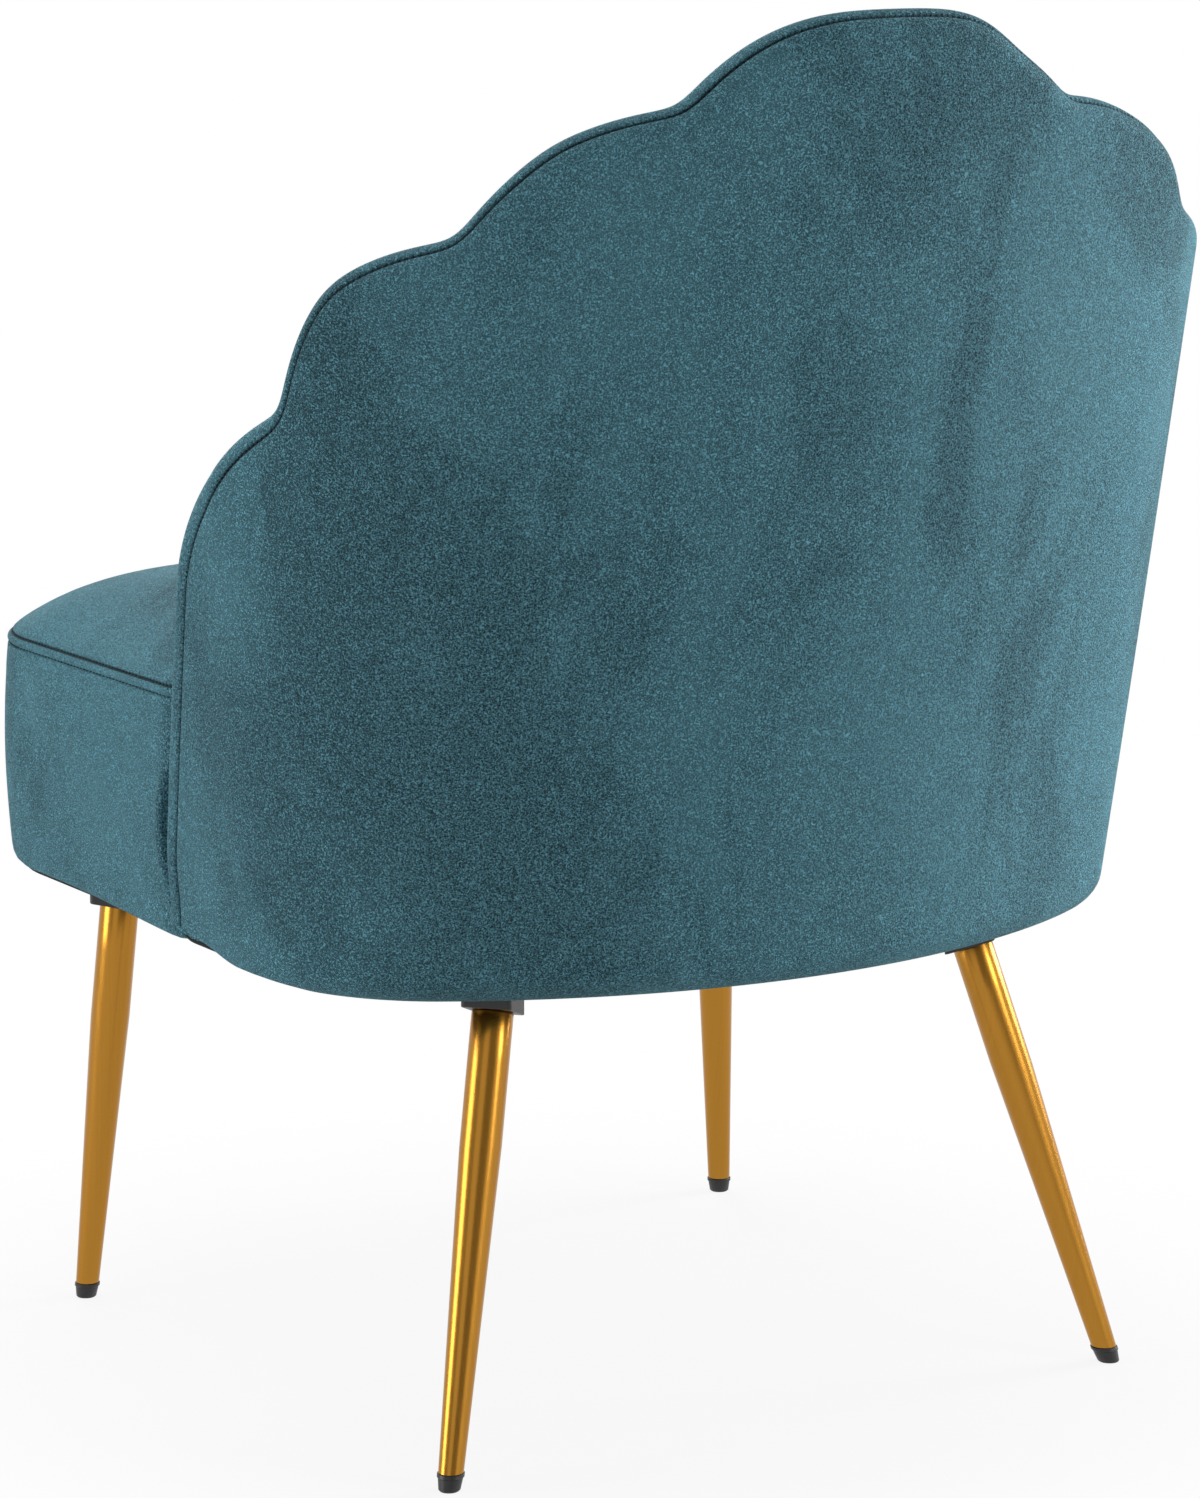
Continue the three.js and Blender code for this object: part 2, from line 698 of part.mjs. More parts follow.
function sideRail(side) {
  const inward = new THREE.Vector2(-side, 0);
  const line = [frontCornerY + CLEARANCE, railJointY - CLEARANCE].map((y) => (
    { at: new THREE.Vector2(side * frontRailX, y), inward }
  ));
  return railSolid(line, SIDE_RAIL);
}

function frontRail() {
  const half = frontCornerX - CLEARANCE;
  const inward = new THREE.Vector2(0, 1);
  return railSolid([-half, half].map((x) => ({ at: new THREE.Vector2(x, frontRailY), inward })), SIDE_RAIL);
}

function frontCorner(side) {
  const line = Array.from({ length: ARC_STEPS }, (_, i) => {
    const angle = mix(-Math.PI / 2, 0, i / (ARC_STEPS - 1));
    const inward = new THREE.Vector2(-side * Math.cos(angle), -Math.sin(angle));
    const centre = new THREE.Vector2(side * frontCornerX, frontCornerY);
    return { at: centre.addScaledVector(inward, -frontCornerRadius), inward };
  });
  return railSolid(line, SIDE_RAIL);
}

function cornerBlock(side) {
  const { x, y } = LEGS.front_left.top;
  const outX = frontRailX - SIDE_RAIL - CLEARANCE;
  const half = CORNER_BLOCK_LENGTH / 2;
  const xs = side > 0 ? [outX - CORNER_BLOCK_WIDTH, outX] : [-outX, CORNER_BLOCK_WIDTH - outX];
  const hole = [side * x, y, NUT_BARREL + HOLE_CLEARANCE];
  return prism(rectangle(xs[0], xs[1], y - half, y + half), frameBottom, frameTop, [hole]);
}

// Shell bolts: the head bears on the rail's inner face and the shank ends inside the ply

function shellBolts() {
  const bolt = (name, run) => {
    const face = planPoint(lowPlan, run, RAIL_LINE);
    const inner = planPoint(lowPlan, run, RAIL_LINE + REAR_RAIL + CLEARANCE);
    const out = face.sub(inner).normalize();
    const at = (distance) => {
      const place = inner.clone().addScaledVector(out, distance);
      return new THREE.Vector3(place.x, place.y, BOLT_HEIGHT);
    };
    const reach = (depth) => planPoint(planAt(BOLT_HEIGHT), run, depth).sub(inner).dot(out);
    return {
      name,
      head: at(0),
      start: at(-BOLT_HEAD),
      tip: at(reach(OUTER_COVER + PLY / 2)),
      beyond: at(reach(OUTER_COVER + CLEARANCE)),
      clear: at(-BOLT_HEAD - CUT_OVERRUN),
    };
  };
  return [['left', 1], ['right', -1]].flatMap(([word, sign]) => [
    ...SIDE_BOLT_RUNS.map((beyond, i) => bolt(`${word}_${i + 1}`, sign * fromCorner(beyond))),
    bolt(`rear_${word}`, sign * REAR_BOLT_RUN),
  ]);
}

// Holes for the bolts' shanks, with a flat seat for each head
function boltHoles() {
  return shellBolts().flatMap((bolt) => {
    const seat = bolt.head.clone().addScaledVector(bolt.head.clone().sub(bolt.start).normalize(), CLEARANCE);
    return [
      bar(bolt.clear, bolt.beyond, STUD_RADIUS + HOLE_CLEARANCE),
      bar(bolt.clear, seat, BOLT_HEAD_RADIUS + HOLE_CLEARANCE),
    ];
  });
}

function shellBolt(bolt) {
  const shank = toSolid(bar(bolt.start, bolt.tip, STUD_RADIUS));
  const head = toSolid(bar(bolt.start, bolt.head, BOLT_HEAD_RADIUS));
  const mesh = shank.add(head).getMesh();
  const result = new THREE.BufferGeometry();
  result.setAttribute('position', new THREE.Float32BufferAttribute(mesh.vertProperties, 3));
  result.setIndex([...mesh.triVerts]);
  return result;
}

// Seat upholstery

const STEP_SHARES = [0, 0.5, 1];
const MIDDLE_SHARE = 0.5;

// The seat's plan: straight front, round front corners, sides that step in behind the wings, and a rear
// that follows the shell. It can be drawn smaller by an inset, with its own line behind.
function seatOutline(inset_ = 0, rearLine = SEAT_REAR_LINE) {
  const rearX = LOW_HALF_WIDTH - rearLine;
  const sideX = SEAT_HALF_WIDTH - inset_;
  const frontY = -SEAT_FRONT + inset_;
  const radius = SEAT_CORNER_RADIUS - inset_;
  const half = [new THREE.Vector2(0, frontY), new THREE.Vector2(frontCornerX / 2, frontY)];
  for (let i = 0; i < ARC_STEPS; i += 1) {
    const angle = mix(-Math.PI / 2, 0, i / (ARC_STEPS - 1));
    half.push(new THREE.Vector2(frontCornerX + radius * Math.cos(angle), frontCornerY + radius * Math.sin(angle)));
  }
  half.push(new THREE.Vector2(sideX, mix(frontCornerY, seatStepEnd, MIDDLE_SHARE)));
  for (const share of STEP_SHARES) {
    half.push(new THREE.Vector2(mix(sideX, rearX, smooth(share)), mix(seatStepEnd, SEAT_STEP_START, share)));
  }
  for (const run of backRuns(0, SIDE_RUN).slice(1).reverse()) half.push(planPoint(lowPlan, run, rearLine));
  const other = half.slice(1).reverse().map((p) => new THREE.Vector2(-p.x, p.y));
  return [...half, planPoint(lowPlan, 0, rearLine), ...other];
}

// The seat's outline shrunk towards its centre so that its side moves in by a distance
function seatRing(inward, height) {
  const scale = 1 - inward / SEAT_HALF_WIDTH;
  return seatOutline().map((p) => new THREE.Vector3(p.x * scale, mix(SEAT_CENTRE, p.y, scale), height));
}

const crownHeight = (share) => SEAT_SEAM_HEIGHT + SEAT_CROWN * (1 - share ** CROWN_FULLNESS_SHARE);
const crownInset = (share) => SEAT_HALF_WIDTH * (1 - share);

const SIDE_SHARES = [0, 0.3, 0.65, 1];

// The cover's profile from the hem up the side to the middle of the crown, as [inset, height]
function seatProfile(depth) {
  const bottom = UNDERSIDE + CLEARANCE;
  const round = SEAT_EDGE_RADIUS * (1 - Math.SQRT1_2);
  const bulge = (share) => depth - SEAT_BULGE * Math.sin(Math.PI * share);
  const sideHeight = (share) => mix(bottom + SEAT_EDGE_RADIUS, SEAT_SEAM_HEIGHT - depth, share);
  return [
    [SEAT_HEM, bottom + depth],
    [SEAT_EDGE_RADIUS, bottom + depth],
    [round + depth * (1 - Math.SQRT1_2), bottom + round + depth * Math.SQRT1_2],
    ...SIDE_SHARES.map((share) => [bulge(share), sideHeight(share)]),
    ...CROWN_RING_SHARES.map((share) => [crownInset(share), crownHeight(share) - depth]),
  ];
}

function seatCover() {
  const outer = seatProfile(0).map(([inward, height]) => seatRing(inward, height));
  const inner = seatProfile(SKIN).map(([inward, height]) => seatRing(inward, height));
  const studHoles = ['rear_left', 'rear_right'].map((corner) => {
    const { x, y } = LEGS[corner].top;
    const from = new THREE.Vector3(x, y, UNDERSIDE - CUT_OVERRUN);
    return bar(from, from.clone().setZ(frameBottom + CUT_OVERRUN), STUD_RADIUS + HOLE_CLEARANCE);
  });
  return cut(ringSolid([...outer.reverse(), ...inner]), ...studHoles, ...boltHoles());
}

const deckTop = () => feltBottom() + DECK_FELT;
const wireCentre = frameTop + CLEARANCE + CLIP_PLATE + CLEARANCE + SPRING_WIRE / 2;
const feltBottom = () => wireCentre + SPRING_WIRE / 2 + CLEARANCE + CLIP_PLATE + FELT_GAP;

function seatFoam() {
  const depth = SKIN + CLEARANCE;
  const bottom = deckTop() + CLEARANCE;
  const side = [0, 0.5, 1].map((share) => {
    const height = mix(bottom, SEAT_SEAM_HEIGHT - depth, share);
    const coverShare = (height - UNDERSIDE - SEAT_EDGE_RADIUS) / (SEAT_SEAM_HEIGHT - UNDERSIDE - SEAT_EDGE_RADIUS);
    return [2 * depth - SEAT_BULGE * Math.sin(Math.PI * clamp01(coverShare)) * share, height];
  });
  const crown = CROWN_RING_SHARES.map((share) => [crownInset(share), crownHeight(share) - depth]);
  return ringSolid([...side, ...crown].map(([inward, height]) => seatRing(inward, height)));
}

function deckFelt() {
  const outline = seatRing(FELT_INSET, 0).map((p) => new THREE.Vector2(p.x, p.y));
  return prism(outline, feltBottom(), deckTop());
}

function dustCover() {
  const top = UNDERSIDE - CLEARANCE;
  const outline = seatOutline(DUST_COVER_INSET, DUST_COVER_LINE);
  const holes = Object.values(LEGS).map((leg) => [leg.top.x, leg.top.y, STUD_RADIUS + HOLE_CLEARANCE]);
  return prism(outline, top - DUST_COVER, top, holes);
}

// Springs

class SinuousWire extends THREE.Curve {
  constructor(x, from, to, height) {
    super();
    Object.assign(this, { x, from, to, height });
  }

  getPoint(share, target = new THREE.Vector3()) {
    const lead = (Math.PI * 3) / STEPS_PER_WAVE;
    const turn = mix(-lead, 2 * Math.PI * SPRING_WAVES + lead, share);
    const pitch = (this.to - this.from) / SPRING_WAVES;
    const y = this.from + (pitch / (2 * Math.PI)) * (turn - Math.sin(2 * turn) / 2);
    return target.set(this.x + SPRING_SWING * Math.sin(turn), y, this.height);
  }

  getPointAt(share, target) {
    return this.getPoint(share, target);
  }

  getTangentAt(share, target) {
    return this.getTangent(share, target);
  }
}

// Where a spring's first and last bar lie on the front and rear rails
function springEnds(x) {
  const arc = (radius) => lowArcs.backY + Math.sqrt(radius * radius - x * x);
  const rear = (arc(LOW_BACK_RADIUS - RAIL_LINE) + arc(LOW_BACK_RADIUS - RAIL_LINE - REAR_RAIL)) / 2;
  return [frontRailY + SIDE_RAIL / 2, rear];
}

function seatSpring(x) {
  const [from, to] = springEnds(x);
  const section = new THREE.Shape(Array.from({ length: SPRING_SIDES }, (_, i) => {
    const angle = (2 * Math.PI * i) / SPRING_SIDES;
    return new THREE.Vector2(Math.cos(angle), Math.sin(angle)).multiplyScalar(SPRING_WIRE / 2);
  }));
  const path = new SinuousWire(x, from, to, wireCentre);
  return new THREE.ExtrudeGeometry(section, { extrudePath: path, steps: STEPS_PER_WAVE * SPRING_WAVES + 3 });
}

// A clip: a strip under the wire, folded up behind it and back over it
function springClip(x, y, facing) {
  const bottom = frameTop + CLEARANCE;
  const mouth = SPRING_WIRE + 2 * CLEARANCE;
  const height = mouth + 2 * CLIP_PLATE;
  const back = SPRING_WIRE / 2 + CLEARANCE + CLIP_PLATE;
  const shape = new THREE.Shape([
    new THREE.Vector2(-back, 0),
    new THREE.Vector2(CLIP_LENGTH - back, 0),
    new THREE.Vector2(CLIP_LENGTH - back, CLIP_PLATE),
    new THREE.Vector2(-back + CLIP_PLATE, CLIP_PLATE),
    new THREE.Vector2(-back + CLIP_PLATE, height - CLIP_PLATE),
    new THREE.Vector2(back, height - CLIP_PLATE),
    new THREE.Vector2(back, height),
    new THREE.Vector2(-back, height),
  ]);
  const clip = new THREE.ExtrudeGeometry(shape, { depth: CLIP_WIDTH, bevelEnabled: false, steps: 1 });
  clip.translate(0, 0, -CLIP_WIDTH / 2).rotateX(Math.PI / 2).rotateZ(facing > 0 ? Math.PI / 2 : -Math.PI / 2);
  return clip.translate(x, y, bottom);
}

// Legs

function legAt(side, foot, top) {
  const from = new THREE.Vector3(side * foot[0], foot[1], 0);
  const to = new THREE.Vector3(side * top[0], top[1], LEG_TOP);
  const axis = to.clone().sub(from).normalize();
  const across = axis.clone().setZ(0).normalize();
  return { foot: from, top: to, axis, across, other: new THREE.Vector3(-across.y, across.x, 0) };
}

const LEGS = {
  front_left: legAt(1, FOOT_FRONT, TOP_FRONT),
  front_right: legAt(-1, FOOT_FRONT, TOP_FRONT),
  rear_left: legAt(1, FOOT_REAR, TOP_REAR),
  rear_right: legAt(-1, FOOT_REAR, TOP_REAR),
};

// A level ring round the leg's leaning axis, stretched so that the leg itself is round
function legRing(leg, height, radius, sides = LEG_SIDES) {
  const centre = leg.foot.clone().lerp(leg.top, height / LEG_TOP);
  return Array.from({ length: sides }, (_, i) => {
    const angle = (2 * Math.PI * i) / sides;
    return centre.clone()
      .addScaledVector(leg.across, (radius * Math.cos(angle)) / leg.axis.z)
      .addScaledVector(leg.other, radius * Math.sin(angle));
  });
}

// Lowers a point straight on to the plane square to the leg's axis, a distance above the leg's top
function toSquarePlane(leg, point, above) {
  const off = point.clone().sub(leg.top).dot(leg.axis) - above;
  return point.clone().setZ(point.z - off / leg.axis.z);
}

const legTubeFoot = CAP_HEIGHT + CLEARANCE;
const legTaperEnd = LEG_TOP - LEG_STRAIGHT;

// A round tube whose top is closed by a plate, cut square to the leg's axis, with a hole for the stud
function legTube(leg) {
  const inside = LEG_TOP_RADIUS - LEG_WALL;
  const square = (radius, above) => legRing(leg, LEG_TOP, radius).map((point) => {
    const off = point.sub(leg.top).dot(leg.axis) - above;
    return point.add(leg.top).addScaledVector(leg.axis, -off);
  });
  const hole = (above) => (
    studRing(leg, LEG_TOP, STUD_RADIUS + HOLE_CLEARANCE).map((point) => toSquarePlane(leg, point, above))
  );
  return ringSolid([
    legRing(leg, legTubeFoot, LEG_FOOT_RADIUS),
    legRing(leg, legTaperEnd, LEG_TOP_RADIUS),
    square(LEG_TOP_RADIUS, 0),
    hole(0),
    hole(-LEG_TOP_PLATE),
    square(inside, -LEG_TOP_PLATE),
    legRing(leg, legTaperEnd, inside),
    legRing(leg, legTubeFoot, LEG_FOOT_RADIUS - LEG_WALL),
  ], true);
}

// A level ring round the stud's upright axis, in step with the leg's own rings
function studRing(leg, height, radius, sides = LEG_SIDES) {
  const turn = Math.atan2(leg.across.y, leg.across.x);
  return Array.from({ length: sides }, (_, i) => {
    const angle = turn + (2 * Math.PI * i) / sides;
    return new THREE.Vector3(leg.top.x + radius * Math.cos(angle), leg.top.y + radius * Math.sin(angle), height);
  });
}

function footCap(leg) {
  const flangeFrom = CAP_HEIGHT - CAP_FLANGE;
  const plug = LEG_FOOT_RADIUS - LEG_WALL - CLEARANCE;
  return ringSolid([
    legRing(leg, 0, LEG_FOOT_RADIUS - CAP_TAPER),
    legRing(leg, flangeFrom, LEG_FOOT_RADIUS),
    legRing(leg, flangeFrom, LEG_FOOT_RADIUS + CAP_FLANGE_LIP),
    legRing(leg, CAP_HEIGHT, LEG_FOOT_RADIUS + CAP_FLANGE_LIP),
    legRing(leg, CAP_HEIGHT, plug),
    legRing(leg, CAP_HEIGHT + CAP_PLUG, plug),
  ]);
}

const blockTop = UNDERSIDE - DUST_COVER - 2 * CLEARANCE;

// A square block, level on top, whose underside sits square on the leaning leg
function legBlock(leg) {
  const half = BLOCK_SIDE / 2 - BLOCK_CORNER;
  const shape = new THREE.Shape();
  shape.absarc(half, half, BLOCK_CORNER, 0, Math.PI / 2, false);
  shape.absarc(-half, half, BLOCK_CORNER, Math.PI / 2, Math.PI, false);
  shape.absarc(-half, -half, BLOCK_CORNER, Math.PI, Math.PI * 1.5, false);
  shape.absarc(half, -half, BLOCK_CORNER, Math.PI * 1.5, Math.PI * 2, false);
  const block = prism(shape.getPoints(2), LEG_TOP, blockTop, [[0, 0, STUD_RADIUS + HOLE_CLEARANCE]]);
  block.rotateZ(Math.atan2(leg.across.y, leg.across.x)).translate(leg.top.x, leg.top.y, 0);
  const { position } = block.attributes;
  for (let i = 0; i < position.count; i += 1) {
    const point = new THREE.Vector3().fromBufferAttribute(position, i);
    if (point.z < blockTop - CLEARANCE) position.setZ(i, toSquarePlane(leg, point, CLEARANCE).z);
  }
  return block;
}

const nutBottom = frameTop - NUT_LENGTH;

function legStud(leg) {
  const from = new THREE.Vector3(leg.top.x, leg.top.y, LEG_TOP - STUD_BELOW);
  return bar(from, from.clone().setZ(frameTop), STUD_RADIUS);
}

function legNut(leg) {
  const bore = STUD_RADIUS + CLEARANCE;
  const seat = frameTop + CLEARANCE;
  const ring = (height, radius) => studRing(leg, height, radius, ROUND_SIDES);
  return ringSolid([
    ring(nutBottom, NUT_BARREL),
    ring(seat, NUT_BARREL),
    ring(seat, NUT_FLANGE_RADIUS),
    ring(seat + NUT_FLANGE, NUT_FLANGE_RADIUS),
    ring(seat + NUT_FLANGE, bore),
    ring(nutBottom, bore),
  ], true);
}

// Assembly

const chair = new THREE.Group();

function add(name, geometry, material) {
  const mesh = new THREE.Mesh(geometry, material);
  mesh.name = name;
  chair.add(mesh);
}

for (const [corner, leg] of Object.entries(LEGS)) {
  add(`leg_tube_${corner}`, legTube(leg), gold);
  add(`foot_cap_${corner}`, footCap(leg), blackPlastic);
  add(`leg_block_${corner}`, legBlock(leg), blackPlastic);
  add(`leg_stud_${corner}`, legStud(leg), steel);
  add(`leg_nut_${corner}`, legNut(leg), steel);
}

add('seat_rail_front', frontRail(), wood);
add('seat_rail_rear', railRear(), wood);
for (const [word, side] of [['left', 1], ['right', -1]]) {
  add(`seat_rail_${word}`, sideRail(side), wood);
  add(`front_corner_${word}`, frontCorner(side), wood);
  add(`corner_block_${word}`, cornerBlock(side), wood);
}
add('shell_batten', shellBatten(), wood);
add('back_frame', backFrame(), wood);
for (const bolt of shellBolts()) add(`shell_bolt_${bolt.name}`, shellBolt(bolt), steel);

let springNumber = 0;
for (const x of [...SPRING_RUNS.map((run) => -run).reverse(), ...SPRING_RUNS]) {
  springNumber += 1;
  const [front, rear] = springEnds(x);
  add(`seat_spring_${springNumber}`, seatSpring(x), steel);
  add(`spring_clip_front_${springNumber}`, springClip(x, front, 1), steel);
  add(`spring_clip_rear_${springNumber}`, springClip(x, rear, -1), steel);
}

add('deck_felt', deckFelt(), felt);
add('seat_foam', seatFoam(), foam);
add('seat_cover', seatCover(), velvet);
add('dust_cover', dustCover(), lining);
add('back_foam', backFoam(), foam);
add('inner_back_cover', innerBackCover(), velvet);
add('outer_back_cover', outerBackCover(), velvet);

// The origin is under the middle of the chair's box
const extent = new THREE.Box3().setFromObject(chair);
const middle = extent.getCenter(new THREE.Vector3());
chair.position.set(-middle.x, -middle.y, 0);
chair.updateMatrixWorld(true);

export default chair;
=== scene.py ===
"""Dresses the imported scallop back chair: velvet shell and seat, gold legs, lining, pale studio."""

import json
import logging
import math
from contextlib import contextmanager
from dataclasses import dataclass, field
from enum import Enum
from functools import cached_property
from typing import Callable, Iterator, NamedTuple, Optional, Sequence

import bmesh
import bpy
import numpy as np
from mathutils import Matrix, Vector
from mathutils.kdtree import KDTree

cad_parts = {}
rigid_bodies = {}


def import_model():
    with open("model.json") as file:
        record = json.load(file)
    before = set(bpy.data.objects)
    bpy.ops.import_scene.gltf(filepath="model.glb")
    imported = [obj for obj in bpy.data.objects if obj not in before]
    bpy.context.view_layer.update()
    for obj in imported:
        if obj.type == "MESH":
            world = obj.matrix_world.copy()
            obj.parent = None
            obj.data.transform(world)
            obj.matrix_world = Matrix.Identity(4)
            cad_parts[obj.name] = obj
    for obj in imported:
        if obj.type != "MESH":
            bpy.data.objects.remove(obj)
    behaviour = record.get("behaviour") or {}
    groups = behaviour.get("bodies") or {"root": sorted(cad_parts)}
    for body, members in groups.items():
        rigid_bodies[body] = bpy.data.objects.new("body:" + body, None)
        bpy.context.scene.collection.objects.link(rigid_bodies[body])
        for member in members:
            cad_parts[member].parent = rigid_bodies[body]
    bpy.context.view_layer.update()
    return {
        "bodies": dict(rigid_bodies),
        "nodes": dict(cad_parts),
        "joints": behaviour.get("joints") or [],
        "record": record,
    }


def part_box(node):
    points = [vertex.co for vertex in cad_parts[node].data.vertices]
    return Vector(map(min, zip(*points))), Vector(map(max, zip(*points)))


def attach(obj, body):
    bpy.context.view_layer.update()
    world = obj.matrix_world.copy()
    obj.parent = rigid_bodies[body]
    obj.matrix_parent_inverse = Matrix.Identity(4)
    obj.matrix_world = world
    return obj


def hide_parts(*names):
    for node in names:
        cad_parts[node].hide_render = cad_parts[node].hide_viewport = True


log = logging.getLogger("chair")

Array = np.ndarray
Number = Array | float
Object = bpy.types.Object
Material = bpy.types.Material
Socket = bpy.types.NodeSocket
Value = float | int | tuple | Socket
Colour = tuple[float, float, float]
Place = tuple[float, float, float]
Pair = tuple[float, float]

ROOT = "root"
PHOTO_WIDTH = 1200
PHOTO_HEIGHT = 1498
QUARTER_TURN = math.pi / 2
TINY = 1e-6
FAR_FROM_SEAM = 0.5


class Corner(Enum):
    """A leg's corner of the seat, as the frame's nodes spell it."""

    FRONT_LEFT = "front_left"
    FRONT_RIGHT = "front_right"
    REAR_LEFT = "rear_left"
    REAR_RIGHT = "rear_right"

    @property
    def sign(self) -> int:
        """The sign of x there, positive to the sitter's left."""
        return 1 if self.value.endswith("left") else -1

    @property
    def is_rear(self) -> bool:
        """True for a corner behind the sitter."""
        return self.value.startswith("rear")


# Small numeric helpers


def mix(low: Number, high: Number, share: Number) -> Number:
    """The value a share of the way from low to high."""
    return low + (high - low) * share


def eased(value: Number, start: Number, reach: float) -> Number:
    """Rises smoothly from 0 at the start to 1 a reach further on; a negative reach goes back."""
    share = np.clip((value - start) / reach, 0.0, 1.0)
    return share * share * (3 - 2 * share)


def bump(distance: Array, width: float) -> Array:
    """A bell of height 1 whose width is where it has dropped to about a third."""
    return np.exp(-((distance / width) ** 2))


def joined(*values: Array) -> Array:
    """Values side by side along a new last axis."""
    return np.stack(values, axis=-1)


def unit(rows: Array) -> Array:
    """Each row scaled to a length of 1."""
    return rows / np.linalg.norm(rows, axis=1)[:, None]


def normals_of(line: Array) -> Array:
    """Unit normals of a flat polyline, to the left of its run."""
    tangent = unit(np.gradient(line, axis=0))
    return joined(-tangent[:, 1], tangent[:, 0])


def arc_lengths(points: Array) -> Array:
    """Distance along a polyline at each of its points."""
    steps = np.linalg.norm(np.diff(points, axis=0), axis=1)
    return np.concatenate([[0.0], np.cumsum(steps)])


def resample(points: Array, places: Array, along: Array) -> Array:
    """Reads a polyline's columns at given distances.

    Args:
        points: Rows of coordinates or other values.
        places: Distances at which to read.
        along: Distance of each row.

    Returns:
        One row for each place.
    """
    return joined(*(np.interp(places, along, column) for column in points.T))


def rounded(points: Array, reach: float, step: float) -> Array:
    """Rounds an evenly spaced polyline's corners and keeps its ends.

    Args:
        points: The polyline, with points a step apart.
        reach: Spread of the rounding along the line.
        step: Distance between the points.

    Returns:
        The rounded polyline, with as many points.
    """
    half = max(int(3 * reach / step), 1)
    weights = bump(np.arange(-half, half + 1) * step, reach * math.sqrt(2))
    weights /= weights.sum()
    before = 2 * points[0] - points[half:0:-1]
    after = 2 * points[-1] - points[-2 : -half - 2 : -1]
    padded = np.concatenate([before, points, after])
    return joined(*(np.convolve(column, weights, mode="valid") for column in padded.T))


def bezier(guides: Sequence[Array], share: Array) -> Array:
    """Points of a Bézier curve.

    Args:
        guides: Its control points.
        share: Shares of the way along it.

    Returns:
        One row for each share.
    """
    t, order = share[:, None], len(guides) - 1
    weights = (math.comb(order, i) * t**i * (1 - t) ** (order - i) for i in range(order + 1))
    return sum(weight * guide for weight, guide in zip(weights, guides))


# Meshes from grids of points


def linked(name: str, data: bpy.types.ID) -> Object:
    """A new object in the scene, at the world's origin."""
    piece = bpy.data.objects.new(name, data)
    bpy.context.scene.collection.objects.link(piece)
    return piece


@contextmanager
def editing(piece: Object) -> Iterator[bmesh.types.BMesh]:
    """Opens a piece's mesh for editing and writes it back.

    Args:
        piece: The piece.

    Yields:
        The mesh as it is edited.
    """
    shape = bmesh.new()
    shape.from_mesh(piece.data)
    yield shape
    shape.to_mesh(piece.data)
    shape.free()


def evaluated_mesh(piece: Object) -> bpy.types.Mesh:
    """A new mesh of a piece with its modifiers applied."""
    graph = bpy.context.evaluated_depsgraph_get()
    return bpy.data.meshes.new_from_object(piece.evaluated_get(graph), depsgraph=graph)


def points_of(mesh: bpy.types.Mesh) -> Array:
    """A mesh's points as rows of coordinates."""
    points = np.empty(len(mesh.vertices) * 3, dtype=np.float32)
    mesh.vertices.foreach_get("co", points)
    return points.reshape(-1, 3).astype(float)


def grid_faces(columns: int, rows: int, loop: bool) -> Array:
    """Quads of a grid whose points run row by row inside each column.

    Args:
        columns: Number of columns.
        rows: Number of rows.
        loop: Whether the last column joins the first.

    Returns:
        One row of four point numbers for each quad.
    """
    starts = np.arange(columns if loop else columns - 1)
    column, row = np.meshgrid(starts, np.arange(rows - 1), indexing="ij")
    near = column * rows + row
    far = ((column + 1) % columns) * rows + row
    return joined(near, far, far + 1, near + 1).reshape(-1, 4)


def faces_away(points: Array, faces: Array, inside: Sequence[float]) -> Array:
    """Turns all faces so that, on the whole, they look away from a point inside.

    Args:
        points: The mesh's points.
        faces: Its quads.
        inside: The point.

    Returns:
        The quads, all turned over or as they were.
    """
    corners = points[faces]
    normals = np.cross(corners[:, 2] - corners[:, 0], corners[:, 3] - corners[:, 1])
    outward = corners.mean(axis=1) - np.asarray(inside)
    turned = np.einsum("ij,ij->i", normals, outward).sum() < 0
    return faces[:, ::-1] if turned else faces


def new_object(name: str, points: Array, faces: Sequence, edges: Sequence = ()) -> Object:
    """A mesh object.

    Args:
        name: Its name.
        points: The points.
        faces: The faces, as point numbers.
        edges: Edges that belong to no face.

    Returns:
        The new object.
    """
    mesh = bpy.data.meshes.new(name)
    mesh.from_pydata(
        np.asarray(points).tolist(), [list(edge) for edge in edges], [list(face) for face in faces]
    )
    mesh.validate()
    return linked(name, mesh)


def set_uv(piece: Object, coordinates: Array) -> None:
    """Gives a mesh the seam's UV map from one pair of values for each point."""
    mesh = piece.data
    layer = mesh.uv_layers.new(name="seam")
    corners = np.empty(len(mesh.loops), dtype=np.int32)
    mesh.loops.foreach_get("vertex_index", corners)
    layer.data.foreach_set("uv", coordinates[corners].astype(np.float32).ravel())


def shade_smooth(piece: Object, smooth: bool = True) -> None:
    """Shades every face of a mesh smooth, or flat."""
    polygons = piece.data.polygons
    polygons.foreach_set("use_smooth", np.full(len(polygons), smooth))


def grid_object(
    name: str, grid: Array, inside: Sequence[float], uv: Array, loop: bool = False
) -> Object:
    """A smooth sheet from a grid of points, [column][row].

    Args:
        name: Name of the piece.
        grid: The points.
        inside: A point that the sheet faces away from.
        uv: A pair of values for each point of the grid.
        loop: Whether the last column joins the first.

    Returns:
        The new object.
    """
    columns, rows = grid.shape[:2]
    points = grid.reshape(-1, 3)
    faces = faces_away(points, grid_faces(columns, rows, loop), inside)
    piece = new_object(name, points, faces)
    set_uv(piece, uv.reshape(-1, 2))
    shade_smooth(piece)
    return piece


def weld(piece: Object) -> None:
    """Merges a mesh's doubled points."""
    with editing(piece) as shape:
        bmesh.ops.remove_doubles(shape, verts=shape.verts, dist=TINY)


